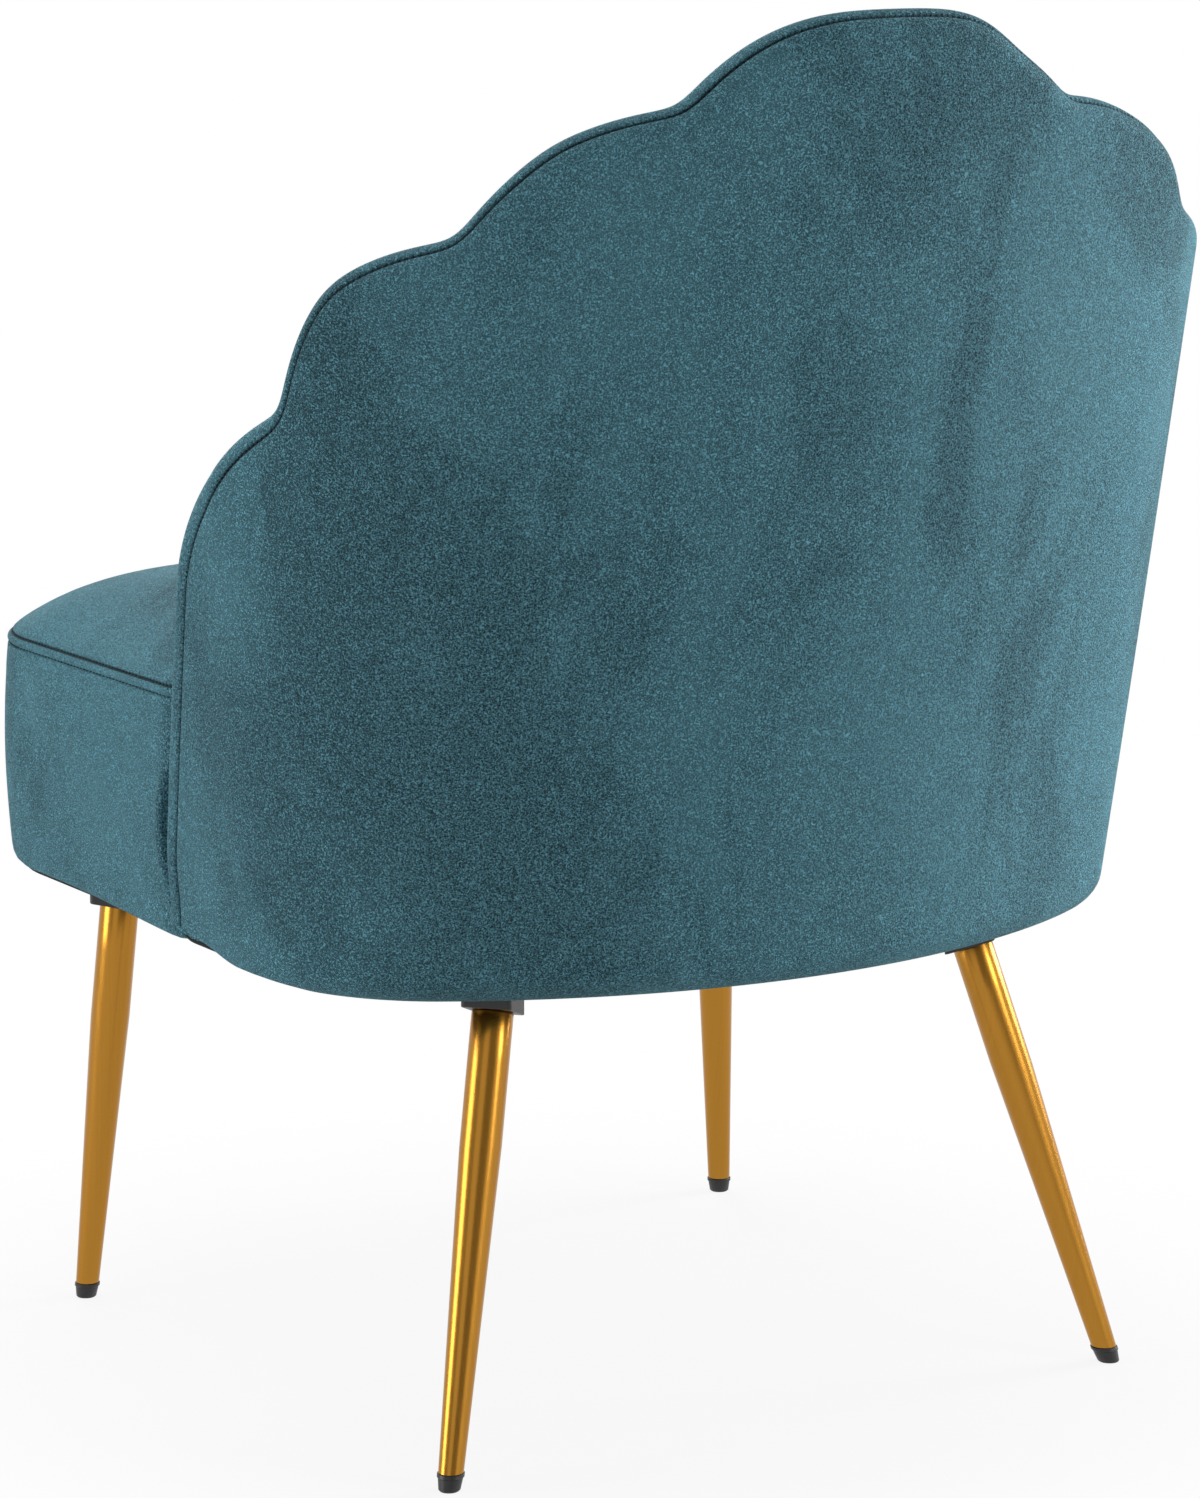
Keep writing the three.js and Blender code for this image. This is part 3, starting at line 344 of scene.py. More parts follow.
def face_out(piece: Object) -> None:
    """Turns a closed body's faces outward and shades them smooth."""
    with editing(piece) as shape:
        bmesh.ops.recalc_face_normals(shape, faces=shape.faces)
    shade_smooth(piece)


def sharpen(piece: Object, angle: float = math.radians(35)) -> None:
    """Marks edges sharper than an angle, so that flat ends don't shade round."""
    with editing(piece) as shape:
        for edge in shape.edges:
            if len(edge.link_faces) == 2 and edge.calc_face_angle(0) > angle:
                edge.smooth = False


def thicken(piece: Object, thickness: float) -> None:
    """Gives a sheet a thickness on its inner side."""
    wall = piece.modifiers.new("thickness", "SOLIDIFY")
    wall.thickness = thickness
    wall.offset = -1.0
    wall.use_even_offset = False


def ring_body(name: str, rings: Sequence[Array], loop: bool = False) -> Object:
    """A closed body from rings of equal length.

    Args:
        name: Name of the piece.
        rings: Closed rings of points, in order.
        loop: Whether the last ring joins the first; otherwise both ends are capped.

    Returns:
        The new object, facing out.
    """
    grid = np.stack(rings)
    count, sides = grid.shape[:2]
    faces = grid_faces(count, sides, loop).tolist()
    for start in range(count if loop else count - 1):
        near, far = start * sides, ((start + 1) % count) * sides
        faces.append([near + sides - 1, far + sides - 1, far, near])
    if not loop:
        faces.append(list(range(sides)))
        faces.append(list(range((count - 1) * sides, count * sides))[::-1])
    piece = new_object(name, grid.reshape(-1, 3), faces)
    face_out(piece)
    return piece


def shell_between(name: str, outer: Array, inner: Array) -> Object:
    """A closed body between two grids of the same shape.

    Args:
        name: Name of the piece.
        outer: The outer face's points, [column][row].
        inner: The inner face's points.

    Returns:
        The new object, facing out.
    """
    columns, rows = outer.shape[:2]
    faces = grid_faces(columns, rows, False)
    count = columns * rows
    border = [column * rows for column in range(columns - 1)]
    border += [(columns - 1) * rows + row for row in range(rows - 1)]
    border += [column * rows + rows - 1 for column in range(columns - 1, 0, -1)]
    border += list(range(rows - 1, 0, -1))
    rim = [[a, b, b + count, a + count] for a, b in zip(border, border[1:] + border[:1])]
    everything = np.concatenate([faces, faces[:, ::-1] + count]).tolist() + rim
    points = np.concatenate([outer.reshape(-1, 3), inner.reshape(-1, 3)])
    piece = new_object(name, points, everything)
    weld(piece)
    face_out(piece)
    return piece


# Frame calls


def carried(piece: Object) -> Object:
    """Lets a piece ride on the chair."""
    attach(piece, ROOT)
    return piece


def dressed(
    piece: Object, material: Material, node: str
) -> Object:
    """Gives a piece its finish and its place in the frame, and hides the node that it replaces.

    Args:
        piece: The finished piece.
        material: Its finish.
        node: The node that it replaces.

    Returns:
        The same piece.
    """
    piece.data.materials.clear()
    piece.data.materials.append(material)
    carried(piece)
    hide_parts(node)
    return piece


# The shell's wall and its scalloped edge


class Plan(NamedTuple):
    """A plan of the wall: half width, corner and back radius, and how far back it reaches."""

    half_width: Number
    corner_radius: Number
    back_radius: Number
    rear: Number

    def towards(self, other: "Plan", share: Array) -> "Plan":
        """The plan a share of the way to another."""
        return Plan(*(mix(mine, theirs, share) for mine, theirs in zip(self, other)))


@dataclass(frozen=True)
class Wall:
    """The leaning wall that every layer of the back follows, lofted between two plans."""

    origin_y: float
    underside: float = 0.280
    peak: float = 0.853
    reference_height: float = 0.700
    low: Plan = Plan(half_width=0.296, corner_radius=0.137, back_radius=0.454, rear=0.258)
    high: Plan = Plan(half_width=0.352, corner_radius=0.2005, back_radius=0.648, rear=0.332)

    def plan_at(self, height: Array) -> Plan:
        """The plan at a height."""
        return self.low.towards(self.high, (height - self.underside) / (self.peak - self.underside))

    @staticmethod
    def arcs(plan: Plan) -> tuple[Number, Number, Number, Number]:
        """Centre of the corner's arc, y of the back's centre, and the angle at which they meet."""
        corner_x = plan.half_width - plan.corner_radius
        back_y = plan.rear - plan.back_radius
        reach = plan.back_radius - plan.corner_radius
        corner_y = back_y + np.sqrt(reach**2 - corner_x**2)
        return corner_x, corner_y, back_y, np.arctan2(corner_y - back_y, corner_x)

    @cached_property
    def runs(self) -> Pair:
        """Length of the back's arc from the centre, and of the corner's, at one height."""
        plan = self.plan_at(self.reference_height)
        meet = float(self.arcs(plan)[3])
        return plan.back_radius * (QUARTER_TURN - meet), plan.corner_radius * meet

    def point(self, run: Array, height: Array, depth: Array) -> Array:
        """A point of the wall.

        Args:
            run: Distance round the wall from the centre back, positive to the sitter's left.
            height: Height above the floor.
            depth: Distance in from the outer face.

        Returns:
            Points with x, y and z along the last axis.
        """
        plan = self.plan_at(height)
        corner_x, corner_y, back_y, meet = self.arcs(plan)
        back_run, corner_run = self.runs
        far = np.abs(run)
        on_back = far <= back_run
        back_angle = mix(QUARTER_TURN, meet, far / back_run)
        corner_angle = mix(meet, 0.0, np.clip((far - back_run) / corner_run, 0, 1))
        beyond = np.maximum(far - back_run - corner_run, 0)
        back_r = plan.back_radius - depth
        corner_r = plan.corner_radius - depth
        side_x = corner_x + corner_r * np.cos(corner_angle)
        side_y = corner_y + corner_r * np.sin(corner_angle) - beyond
        x = np.where(on_back, back_r * np.cos(back_angle), side_x)
        y = np.where(on_back, back_y + back_r * np.sin(back_angle), side_y)
        z = np.broadcast_to(height, x.shape)
        return joined(np.where(run < 0, -x, x), y + self.origin_y, z)


class Columns(NamedTuple):
    """The shell's columns, from the right wing's foot over the peak to the left one's."""

    edge: Array
    out: Array
    foot: Array
    across: Array
    along: Array
    free: Array


@dataclass(frozen=True)
class Edge:
    """The scalloped edge, as runs and heights, and how each column goes down from it."""

    wall: Wall
    valleys: tuple = ((0.137, 0.801), (0.263, 0.729), (0.376, 0.629))
    shoulder: Pair = (0.5037, 0.511)
    wing_foot_run: float = 0.558
    wing_bow: float = 0.0045
    upper_bulge: float = 0.019
    lower_bulge: float = 0.030
    centre_fullness: float = 3.0
    lobe_fullness: float = 1.7
    shoulder_start: Pair = (0.51, 0.22)
    shoulder_end: Pair = (0.925, 0.58)
    seam_feet: tuple = (0.0, 0.070, 0.165, 0.270, 0.424, 0.500)
    curve_points: int = 201
    rounding: float = 0.008
    step: float = 0.001
    rim_depth: float = 0.032
    levelling: float = 0.060
    corner_height: float = 0.352
    corner_rise: float = 0.055
    corner_draw: float = 0.009
    settled: tuple = ((-0.100, 0.034, 0.0075), (-0.243, 0.028, -0.0065))

    def _lobe(self, start: Array, end: Array, bulge: float, share: Array) -> Array:
        """Points of a lobe between two valleys."""
        chord = end - start
        out = np.array([-chord[1], chord[0]]) / np.linalg.norm(chord)
        rise = bulge * (1 - np.abs(2 * share - 1) ** self.lobe_fullness)
        return mix(start, end, share[:, None]) + out * rise[:, None]

    def _half(self) -> Array:
        """Run, height, foot and place across the channel, from the peak to the left foot."""
        share = np.linspace(0, 1, self.curve_points)
        first, second, third = (np.array(valley) for valley in self.valleys)
        shoulder = np.array(self.shoulder)
        foot = np.array([self.wing_foot_run, self.wall.underside])
        bow = (shoulder + foot) / 2 + np.array([self.wing_bow, 0])
        fall = mix(self.wall.peak, first[1], share**self.centre_fullness)
        leave = mix(third, shoulder, np.array(self.shoulder_start))
        arrive = mix(third, shoulder, np.array(self.shoulder_end))
        stretches = [
            (joined(first[0] * share, fall), share),
            (self._lobe(first, second, self.upper_bulge, share), 2 * share - 1),
            (self._lobe(second, third, self.lower_bulge, share), 2 * share - 1),
            (bezier([third, leave, arrive, shoulder], share), share - 1),
            (bezier([shoulder, bow, foot], share), 0 * share),
        ]
        rows = []
        for (line, across), feet in zip(stretches, zip(self.seam_feet, self.seam_feet[1:])):
            rows.append(joined(*line.T, mix(*feet, share), across)[1 if rows else 0 :])
        return np.concatenate(rows)

    @cached_property
    def _whole(self) -> tuple[Array, Array, Array]:
        """The rounded edge from foot to foot, its distances, and each point's foot and place."""
        half = self._half()
        line = np.concatenate([(half * np.array([-1, 1, -1, -1]))[:0:-1], half])
        at = arc_lengths(line[:, :2])
        places = np.arange(0, at[-1], self.step)
        even = rounded(resample(line[:, :2], places, at), self.rounding, self.step)
        drawn = self.corner_draw * eased(even[:, 1], self.corner_height, -self.corner_rise)
        even[:, 0] -= np.sign(even[:, 0]) * drawn
        settling = sum(depth * bump(even[:, 0] - run, width) for run, width, depth in self.settled)
        even -= normals_of(even) * settling[:, None]
        return even, places, resample(line[:, 2:], places, at)

    def columns(self, floor: float, count: int) -> Columns:
        """Columns down to a floor height, the last on each side level with it.

        Args:
            floor: Height at which the sheet is cut off or turns under.
            count: Number of columns.

        Returns:
            The columns, evenly spaced along the edge.
        """
        line, places, other = self._whole
        half = len(line) // 2
        last = np.searchsorted(-line[half:, 1], -floor) + half - 1
        gap = (line[last, 1] - floor) / max(line[last, 1] - line[last + 1, 1], TINY)
        end = places[last] + gap * self.step
        along = np.linspace(places[-1] - end, end, count)
        edge = resample(line, along, places)
        free = eased(edge[:, 1], floor, self.levelling)
        side = joined(np.sign(edge[:, 0]), np.zeros(count))
        out = unit(mix(side, resample(normals_of(line), along, places), free[:, None]))
        feet, across = resample(other, along, places).T
        feet[[0, -1]] = np.array([-1, 1]) * self.seam_feet[-1]
        return Columns(edge, out, feet, across, along, free)

    def field(self, columns: Columns, floor: float, bottom: float, shares: Array) -> Array:
        """Places from below the rim down to the sheet's lower end, [column][row].

        Args:
            columns: The columns.
            floor: Height of the level columns at the wings' feet.
            bottom: Height at which the other columns end.
            shares: How far down each row lies.

        Returns:
            Runs and heights along the last axis.
        """
        start = columns.edge - columns.out * self.rim_depth
        level = np.clip((start[:, 1] + self.wall.underside) / 2, floor, bottom)
        share = (start[:, 1] - level) / np.maximum(start[:, 1] - self.wall.underside, TINY)
        run = mix(start[:, 0], columns.foot, share)
        end = joined(mix(columns.foot, run, columns.free), level)
        return mix(start[:, None], end[:, None], shares[None, :, None])


@dataclass(frozen=True)
class RimProfile:
    """The half-round rim, by distance round it from its tip, positive towards the outside."""

    thickness: float = 0.030
    top_seam: float = 0.0095
    wing_seam: float = 0.0295
    seam_start: float = 0.24
    seam_run: float = 0.29
    groove_depth: float = 0.0022
    groove_width: float = 0.0011
    pillow: float = 0.0006
    pillow_spread: float = 4.0

    @property
    def radius(self) -> float:
        """Radius of the nose."""
        return self.thickness / 2

    @property
    def quarter(self) -> float:
        """Distance round the rim from its tip to a face."""
        return self.radius * QUARTER_TURN

    def seam(self, run: Array) -> Array:
        """Where the sewn seam lies: near the tip above, on the outer face at the wings."""
        share = eased(np.abs(run), self.seam_start, self.seam_run)
        return mix(self.top_seam, self.wing_seam, share)

    def groove(self, distance: Array) -> Array:
        """How deep the sewn seam draws the fabric in, at a distance from it."""
        near = self.groove_depth * bump(distance, self.groove_width)
        return near + self.pillow * bump(distance, self.groove_width * self.pillow_spread)

    def place(self, arc: Array, sunk: Array) -> tuple[Array, Array]:
        """Inset from the edge and depth from the outer face.

        Args:
            arc: Distance round the rim from its tip.
            sunk: How far below the rim's surface the point lies.

        Returns:
            The insets and the depths.
        """
        angle = np.clip(arc, -self.quarter, self.quarter) / self.radius
        flat = np.maximum(np.abs(arc) - self.quarter, 0)
        held = self.radius - sunk
        return self.radius - held * np.cos(angle) + flat, self.radius - held * np.sin(angle)

    def arc_at(self, inset: float) -> float:
        """Distance round the rim at which a face is as far in from the edge as the inset."""
        return self.quarter + inset - self.radius


# Node graphs


class Graph:
    """Short calls for building a node tree."""

    colours_in = 6
    colour_out = 2

    def __init__(self, tree: bpy.types.NodeTree) -> None:
        """Keeps the tree that is built."""
        self.tree = tree

    def join(self, value: Value, socket: Socket) -> None:
        """Links an output to a socket, or sets the socket's own value."""
        if isinstance(value, Socket):
            self.tree.links.new(value, socket)
        else:
            socket.default_value = value

    def feed(self, node: bpy.types.Node, **sockets: Value) -> None:
        """Links or sets a node's inputs by name, with _ for a space."""
        for name, value in sockets.items():
            self.join(value, node.inputs[name.replace("_", " ")])

    def add(self, kind: str, settings: Optional[dict] = None, **sockets: Value) -> bpy.types.Node:
        """A new node.

        Args:
            kind: The node's type.
            settings: Its own properties.
            sockets: Values or links for its inputs, with _ for a space.

        Returns:
            The node.
        """
        node = self.tree.nodes.new(kind)
        for name, value in (settings or {}).items():
            setattr(node, name, value)
        self.feed(node, **sockets)
        return node

    def fill(self, node: bpy.types.Node, values: Sequence[Value], first: int = 0) -> bpy.types.Node:
        """Links or sets a node's inputs in order.

        Args:
            node: The node.
            values: Values or links.
            first: Number of the input that takes the first of them.

        Returns:
            The same node.
        """
        for value, socket in zip(values, node.inputs[first:]):
            self.join(value, socket)
        return node

    def math(self, operation: str, *values: Value) -> Socket:
        """The result of a math node."""
        return self.fill(self.add("ShaderNodeMath", {"operation": operation}), values).outputs[0]

    def ramp(
        self, value: Value, low: float, high: float, start: float = 0.0, end: float = 1.0
    ) -> Socket:
        """Maps a value smoothly from one range to another, held at both ends."""
        node = self.add("ShaderNodeMapRange", {"interpolation_type": "SMOOTHSTEP"})
        return self.fill(node, (value, low, high, start, end)).outputs[0]

    def blend(self, share: Value, first: Value, second: Value) -> Socket:
        """A mix of two colours."""
        node = self.add("ShaderNodeMix", {"data_type": "RGBA"})
        self.join(share, node.inputs[0])
        return self.fill(node, (first, second), self.colours_in).outputs[self.colour_out]

    def noise(
        self, place: Value, scale: Value, detail: float, roughness: float = 0.5, bend: float = 0.0
    ) -> Socket:
        """A noise texture's value."""
        inputs = {"Scale": scale, "Detail": detail, "Roughness": roughness, "Distortion": bend}
        return self.add("ShaderNodeTexNoise", Vector=place, **inputs).outputs[0]

    def relief(self, height: Value, strength: float, distance: float) -> Socket:
        """A bump's normal."""
        node = self.add("ShaderNodeBump", Strength=strength, Distance=distance, Height=height)
        return node.outputs[0]

    def group(self, tree: bpy.types.NodeTree, **sockets: Value) -> bpy.types.NodeOutputs:
        """The outputs of a node that stands for a group."""
        return self.add("ShaderNodeGroup", {"node_tree": tree}, **sockets).outputs

    def mixed(self, share: Value, first: Socket, second: Socket) -> Socket:
        """A mix of two shaders."""
        node = self.add("ShaderNodeMixShader", Fac=share)
        return self.fill(node, (first, second), 1).outputs[0]

    def finish(self, shader: Socket, kind: str = "ShaderNodeOutputMaterial") -> None:
        """Sends a shader to the tree's output."""
        self.join(shader, self.add(kind).inputs[0])

    @classmethod
    def blank(cls, owner: Material | bpy.types.World) -> "Graph":
        """The emptied tree of a material or world."""
        owner.use_nodes = True
        owner.node_tree.nodes.clear()
        return cls(owner.node_tree)


def opaque(colour: Colour) -> tuple[float, float, float, float]:
    """A colour with full alpha."""
    return (*colour, 1.0)


# Stitches


@dataclass(frozen=True)
class StitchRow:
    """Threads laid end to end along a path, made by a geometry node tree."""

    name: str
    pitch: float
    length: float
    thickness: float
    seed: int = 7
    wander: float = 0.12

    def _tree(self) -> bpy.types.NodeTree:
        """The node tree, with its sizes as named inputs."""
        tree = bpy.data.node_groups.new(self.name, "GeometryNodeTree")
        kinds = {"Geometry": "Geometry", "Pitch": "Float", "Length": "Float", "Thickness": "Float"}
        kinds |= {"Wander": "Float", "Seed": "Int", "Thread": "Material"}
        for name, kind in kinds.items():
            tree.interface.new_socket(name, in_out="INPUT", socket_type=f"NodeSocket{kind}")
        tree.interface.new_socket("Geometry", in_out="OUTPUT", socket_type="NodeSocketGeometry")
        graph = Graph(tree)
        given = graph.add("NodeGroupInput").outputs
        curve = graph.add("GeometryNodeMeshToCurve", Mesh=given["Geometry"]).outputs[0]
        spaced = {"Curve": curve, "Length": given["Pitch"]}
        points = graph.add("GeometryNodeResampleCurve", {"mode": "LENGTH"}, **spaced)
        tangent = graph.add("GeometryNodeInputTangent").outputs[0]
        aligned = graph.add("FunctionNodeAlignRotationToVector", {"axis": "X"}, Vector=tangent)
        spread = graph.add("FunctionNodeRandomValue", {"data_type": "FLOAT"}, Seed=given["Seed"])
        least = graph.math("MULTIPLY", given["Wander"], -1.0)
        graph.fill(spread, (least, given["Wander"]), 2)
        slant = graph.add("ShaderNodeCombineXYZ", Z=spread.outputs[1]).outputs[0]
        turned = graph.add("FunctionNodeRotateRotation", {"rotation_space": "LOCAL"})
        graph.fill(turned, (aligned.outputs[0], slant))
        thread = graph.add("GeometryNodeMeshUVSphere", Segments=6, Rings=4, Radius=0.5)
        thick = given["Thickness"]
        size = graph.add("ShaderNodeCombineXYZ", X=given["Length"], Y=thick, Z=thick)
        laid = graph.add(
            "GeometryNodeInstanceOnPoints",
            Points=points.outputs[0],
            Instance=thread.outputs[0],
            Rotation=turned.outputs[0],
            Scale=size.outputs[0],
        )
        real = graph.add("GeometryNodeRealizeInstances", Geometry=laid.outputs[0]).outputs[0]
        dyed = graph.add("GeometryNodeSetMaterial", Geometry=real, Material=given["Thread"])
        graph.finish(dyed.outputs[0], "NodeGroupOutput")
        return tree

    def along(self, paths: Sequence[Array], thread: Material) -> Object:
        """Lays the row along polylines.

        Args:
            paths: The polylines that the row follows.
            thread: The thread's finish.

        Returns:
            A plain mesh of all the threads.
        """
        edges, start = [], 0
        for path in paths:
            edges += [(start + i, start + i + 1) for i in range(len(path) - 1)]
            start += len(path)
        guide = new_object(f"{self.name}_path", np.concatenate(paths), [], edges)
        row = guide.modifiers.new("row", "NODES")
        row.node_group = self._tree()
        for item in row.node_group.interface.items_tree:
            if item.in_out == "INPUT" and item.name != "Geometry":
                value = thread if item.name == "Thread" else getattr(self, item.name.lower())
                row[item.identifier] = value
        mesh = evaluated_mesh(guide)
        mesh.name = self.name
        guide.modifiers.remove(row)
        bpy.data.objects.remove(guide)
        piece = linked(self.name, mesh)
        shade_smooth(piece)
        return piece


# Back of the chair


@dataclass
class Back:
    """The upholstered back: outer cover, inner cover with seven channels, and padding between."""

    edge: Edge
    velvet: Material
    thread: Material
    foam: Material
    rim: RimProfile = RimProfile()
    tuck_width: float = 0.025
    tuck_height: float = 0.020
    hem_line: float = 0.034
    hem_draw: float = 0.024
    hem_spread: float = 1.2
    hem_start: float = 0.6
    foot_lift: float = 0.006
    foot_run: float = 0.360
    foot_reach: float = 0.100
    tip_lift: float = 0.009
    tip_run: float = 0.455
    tip_reach: float = 0.050
    foot_square: float = 0.4
    cover_thickness: float = 0.006
    skin: float = 0.0023
    seam_gap: float = 0.0002
    rim_lap: float = 0.0015
    ply_bottom: float = 0.3004
    ply_face: float = 0.0208
    pad_bottom: float = 0.337
    pad_gap: float = 0.0006
    channel_puff: float = 0.020
    puff_lean: float = 0.094
    channel_fade: float = 0.060
    channel_fullness: float = 2.4
    channel_roundness: float = 0.75
    hook_inset: float = 0.0095
    hook_depths: tuple = (0.0085, 0.012, 0.016)
    hook_margin: float = 0.001
    stitch_pitch: float = 0.0042
    stitch_offset: float = 0.0009
    stitch_lift: float = 0.0003
    stitch_columns: int = 1200
    column_count: int = 560
    field_rows: int = 60
    turn_rows: int = 8
    edge_stride: int = 3
    chunk_count: int = 40
    middle_height: float = 0.5
    enclosed_y: float = -0.1
    behind_y: float = 2.0
    rim_shares: Array = field(default_factory=lambda: np.linspace(0, 1, 22) ** 1.7)
    pad_shares: Array = field(default_factory=lambda: np.linspace(0, 1, 34) ** 1.3)

    @property
    def wall(self) -> Wall:
        """The wall that the back follows."""
        return self.edge.wall

    @property
    def turn_height(self) -> float:
        """Height at which the outer cover starts to turn under."""
        return self.wall.underside + self.tuck_height

    @property
    def turns(self) -> Array:
        """Angles of the turn under the shell, up to a right angle."""
        return np.linspace(0, QUARTER_TURN, self.turn_rows + 1)[1:]

    def _on_wall(self, places: Array, depths: Array) -> Array:
        """Points of the wall from runs and heights along the last axis."""
        return self.wall.point(places[..., 0], places[..., 1], depths)

    def _tucked(self, run: Array, angle: float, depth: Array) -> Array:
        """A point on the skin's turn under the shell.

        Args:
            run: Distance round the wall.
            angle: 0 on the wall, a right angle on the underside.
            depth: Distance in from the outer face before the turn.

        Returns:
            The points.
        """
        far = eased(np.abs(run), self.foot_run, self.foot_reach)
        power = mix(1.0, self.foot_square, far)
        tip = eased(np.abs(run), self.tip_run, self.tip_reach)
        lift = self.foot_lift * far + self.tip_lift * tip
        drop = (self.tuck_height - lift) * (1 - np.clip(depth / self.tuck_width, 0, 1) ** 2)
        level = self.turn_height - drop * np.sin(angle) ** power
        reach = (self.tuck_width - depth) * max(math.cos(angle), 0.0) ** power
        return self.wall.point(run, level, self.tuck_width - reach)

    def _drawn(self, run: Array, angle: float) -> Array:
        """A run drawn back towards the middle as the skin turns under."""
        share = math.sin(angle) ** self.hem_start
        return run * (1 - self.hem_draw * share / self.edge.seam_feet[-1])

    def _wing_ends(self, places: Array, depths: Array, column: int) -> Array:
        """A wing's lowest column carried round under the shell, [step][row]."""
        runs, depth = places[column, :, 0], depths[column]
        steps = [self._tucked(self._drawn(runs, angle), angle, depth) for angle in self.turns]
        return np.stack(steps)

    def _uv(self, columns: Columns, away: Array) -> Array:
        """Distance along the edge, held over the turned ends, and distance from the seam."""
        missing = (len(away) - len(columns.along)) // 2
        along = np.pad(columns.along, missing, mode="edge")
        return joined(np.broadcast_to(along[:, None], away.shape), away)

    @staticmethod
    def _with_ends(grid: Array, first: Array, last: Array) -> Array:
        """A grid between its turned ends, whose steps run away from it."""
        return np.concatenate([first[::-1], grid, last])

    def _outer_end(self, whole: Array, places: Array, depths: Array, column: int) -> Array:
        """The outer cover's turned end at a wing, [step][row].

        Args:
            whole: The cover's grid.
            places: Runs and heights of its rows above the turn.
            depths: Their depths.
            column: The wing's column, the first or the last.

        Returns:
            The points.
        """
        wing = []
        for step, turned in enumerate(self._wing_ends(places, depths, column), start=1):
            rest = whole[column, depths.shape[1] :].copy()
            rest[:step] = turned[-1]
            wing.append(np.concatenate([turned, rest]))
        return np.stack(wing)

    def outer_cover(self) -> Object:
        """The velvet outside, from the seam down the wall and round under the frame."""
        floor = self.turn_height
        columns = self.edge.columns(floor, self.column_count)
        seam = self.rim.seam(columns.edge[:, 0])[:, None]
        reach = self.rim.arc_at(self.edge.rim_depth) - self.rim_lap - seam
        near = seam + self.seam_gap + reach * self.rim_shares[None]
        rim_places, rim_depths = self._rim_grid(columns, near, seam, 0.0)
        shares = np.linspace(0, 1, self.field_rows)
        field_places = self.edge.field(columns, floor, floor, shares)
        places = np.concatenate([rim_places, field_places], axis=1)
        depths = np.concatenate([rim_depths, np.zeros(field_places.shape[:2])], axis=1)
        grid = [self._on_wall(places, depths)]
        foot = places[:, -1, 0]
        flush = np.zeros_like(foot)
        for angle in self.turns:
            grid.append(self._tucked(self._drawn(foot, angle), angle, flush)[:, None])
        hem = foot * (1 - self.hem_draw * self.hem_spread / abs(foot[-1]))
        line = np.full_like(hem, self.hem_line)
        grid.append(self.wall.point(hem, grid[-1][:, 0, 2], line)[:, None])
        whole = np.concatenate(grid, axis=1)
        ends = [self._outer_end(whole, places, depths, column) for column in (0, -1)]
        down = mix(self.edge.rim_depth, FAR_FROM_SEAM, shares)
        tail = np.concatenate([down, np.full(self.turn_rows + 1, FAR_FROM_SEAM)])
        away = np.concatenate([near - seam, np.broadcast_to(tail, (len(foot), len(tail)))], axis=1)
        away = np.pad(away, ((self.turn_rows, self.turn_rows), (0, 0)), mode="edge")
        enclosed = (0.0, self.wall.origin_y + self.enclosed_y, self.middle_height)
        grid = self._with_ends(whole, *ends)
        piece = grid_object("back_outer_cover", grid, enclosed, self._uv(columns, away))
        weld(piece)
        thicken(piece, self.cover_thickness)
        return dressed(piece, self.velvet, "outer_back_cover")

    def _rim_grid(
        self, columns: Columns, arcs: Array, seam: Array, sunk: float
    ) -> tuple[Array, Array]:
        """Points of the rim, as runs and heights, and their depths.

        Args:
            columns: The columns.
            arcs: Distances round the rim, [column][row].
            seam: Where each column has the seam.
            sunk: How far below the velvet's face the layer lies.

        Returns:
            The places and the depths.
        """
        insets, depths = self.rim.place(arcs, sunk + self.rim.groove(arcs - seam))
        return columns.edge[:, None] - columns.out[:, None] * insets[..., None], depths

    def _puff(self, columns: Columns, places: Array) -> Array:
        """How much thicker than the rim the inner pad is at each place."""
        samples = columns.edge[None, :: self.edge_stride]
        chunks = np.array_split(places.reshape(-1, 1, 2), self.chunk_count)
        nearest = [np.sqrt(((chunk - samples) ** 2).sum(-1)).min(1) for chunk in chunks]
        gap = np.concatenate(nearest).reshape(places.shape[:2])
        fade = eased(gap, self.rim.radius, self.channel_fade)
        lean = self.puff_lean * (places[..., 1] - self.wall.underside)
        round_off = np.clip(1 - np.abs(columns.across) ** self.channel_fullness, 0, 1)
        crown = round_off**self.channel_roundness
        return np.minimum(self.channel_puff, lean) * crown[:, None] * fade

    def _pad_grid(self, columns: Columns, shrink: float, rows: int) -> tuple[Array, Array]:
        """Grid of the inner pad's face and the distance of each row from the seam.

        Args:
            columns: The columns.
            shrink: How far below the velvet's face this layer lies; the face itself, at 0,
                is carried round under the shell at both wings.
            rows: Number of rows below the rim.

        Returns:
            The points, [column][row], and the distances.
        """
        seam = self.rim.seam(columns.edge[:, 0])[:, None]
        inner = -self.rim.arc_at(self.edge.rim_depth) + self.rim_lap
        arcs = seam - self.seam_gap + (inner - seam) * self.pad_shares[None]
        nose, nose_depth = self._rim_grid(columns, arcs, seam, shrink)
        shares = np.linspace(0, 1, rows)
        field_places = self.edge.field(columns, self.ply_bottom, self.pad_bottom, shares)
        places = np.concatenate([nose, field_places], axis=1)
        puff = self._puff(columns, places)
        puff[:, : arcs.shape[1]] *= -arcs > self.rim.quarter
        flat = np.full(field_places.shape[:2], self.rim.thickness - shrink)
        depths = np.concatenate([nose_depth, flat], axis=1) + puff
        away = np.concatenate([arcs - seam, np.full(flat.shape, -FAR_FROM_SEAM)], axis=1)
        grid = self._on_wall(places, depths)
        if shrink > 0:
            return grid, away
        ends = [self._wing_ends(places, depths, column) for column in (0, -1)]
        away = np.pad(away, ((self.turn_rows, self.turn_rows), (0, 0)), mode="edge")
        return self._with_ends(grid, *ends), away

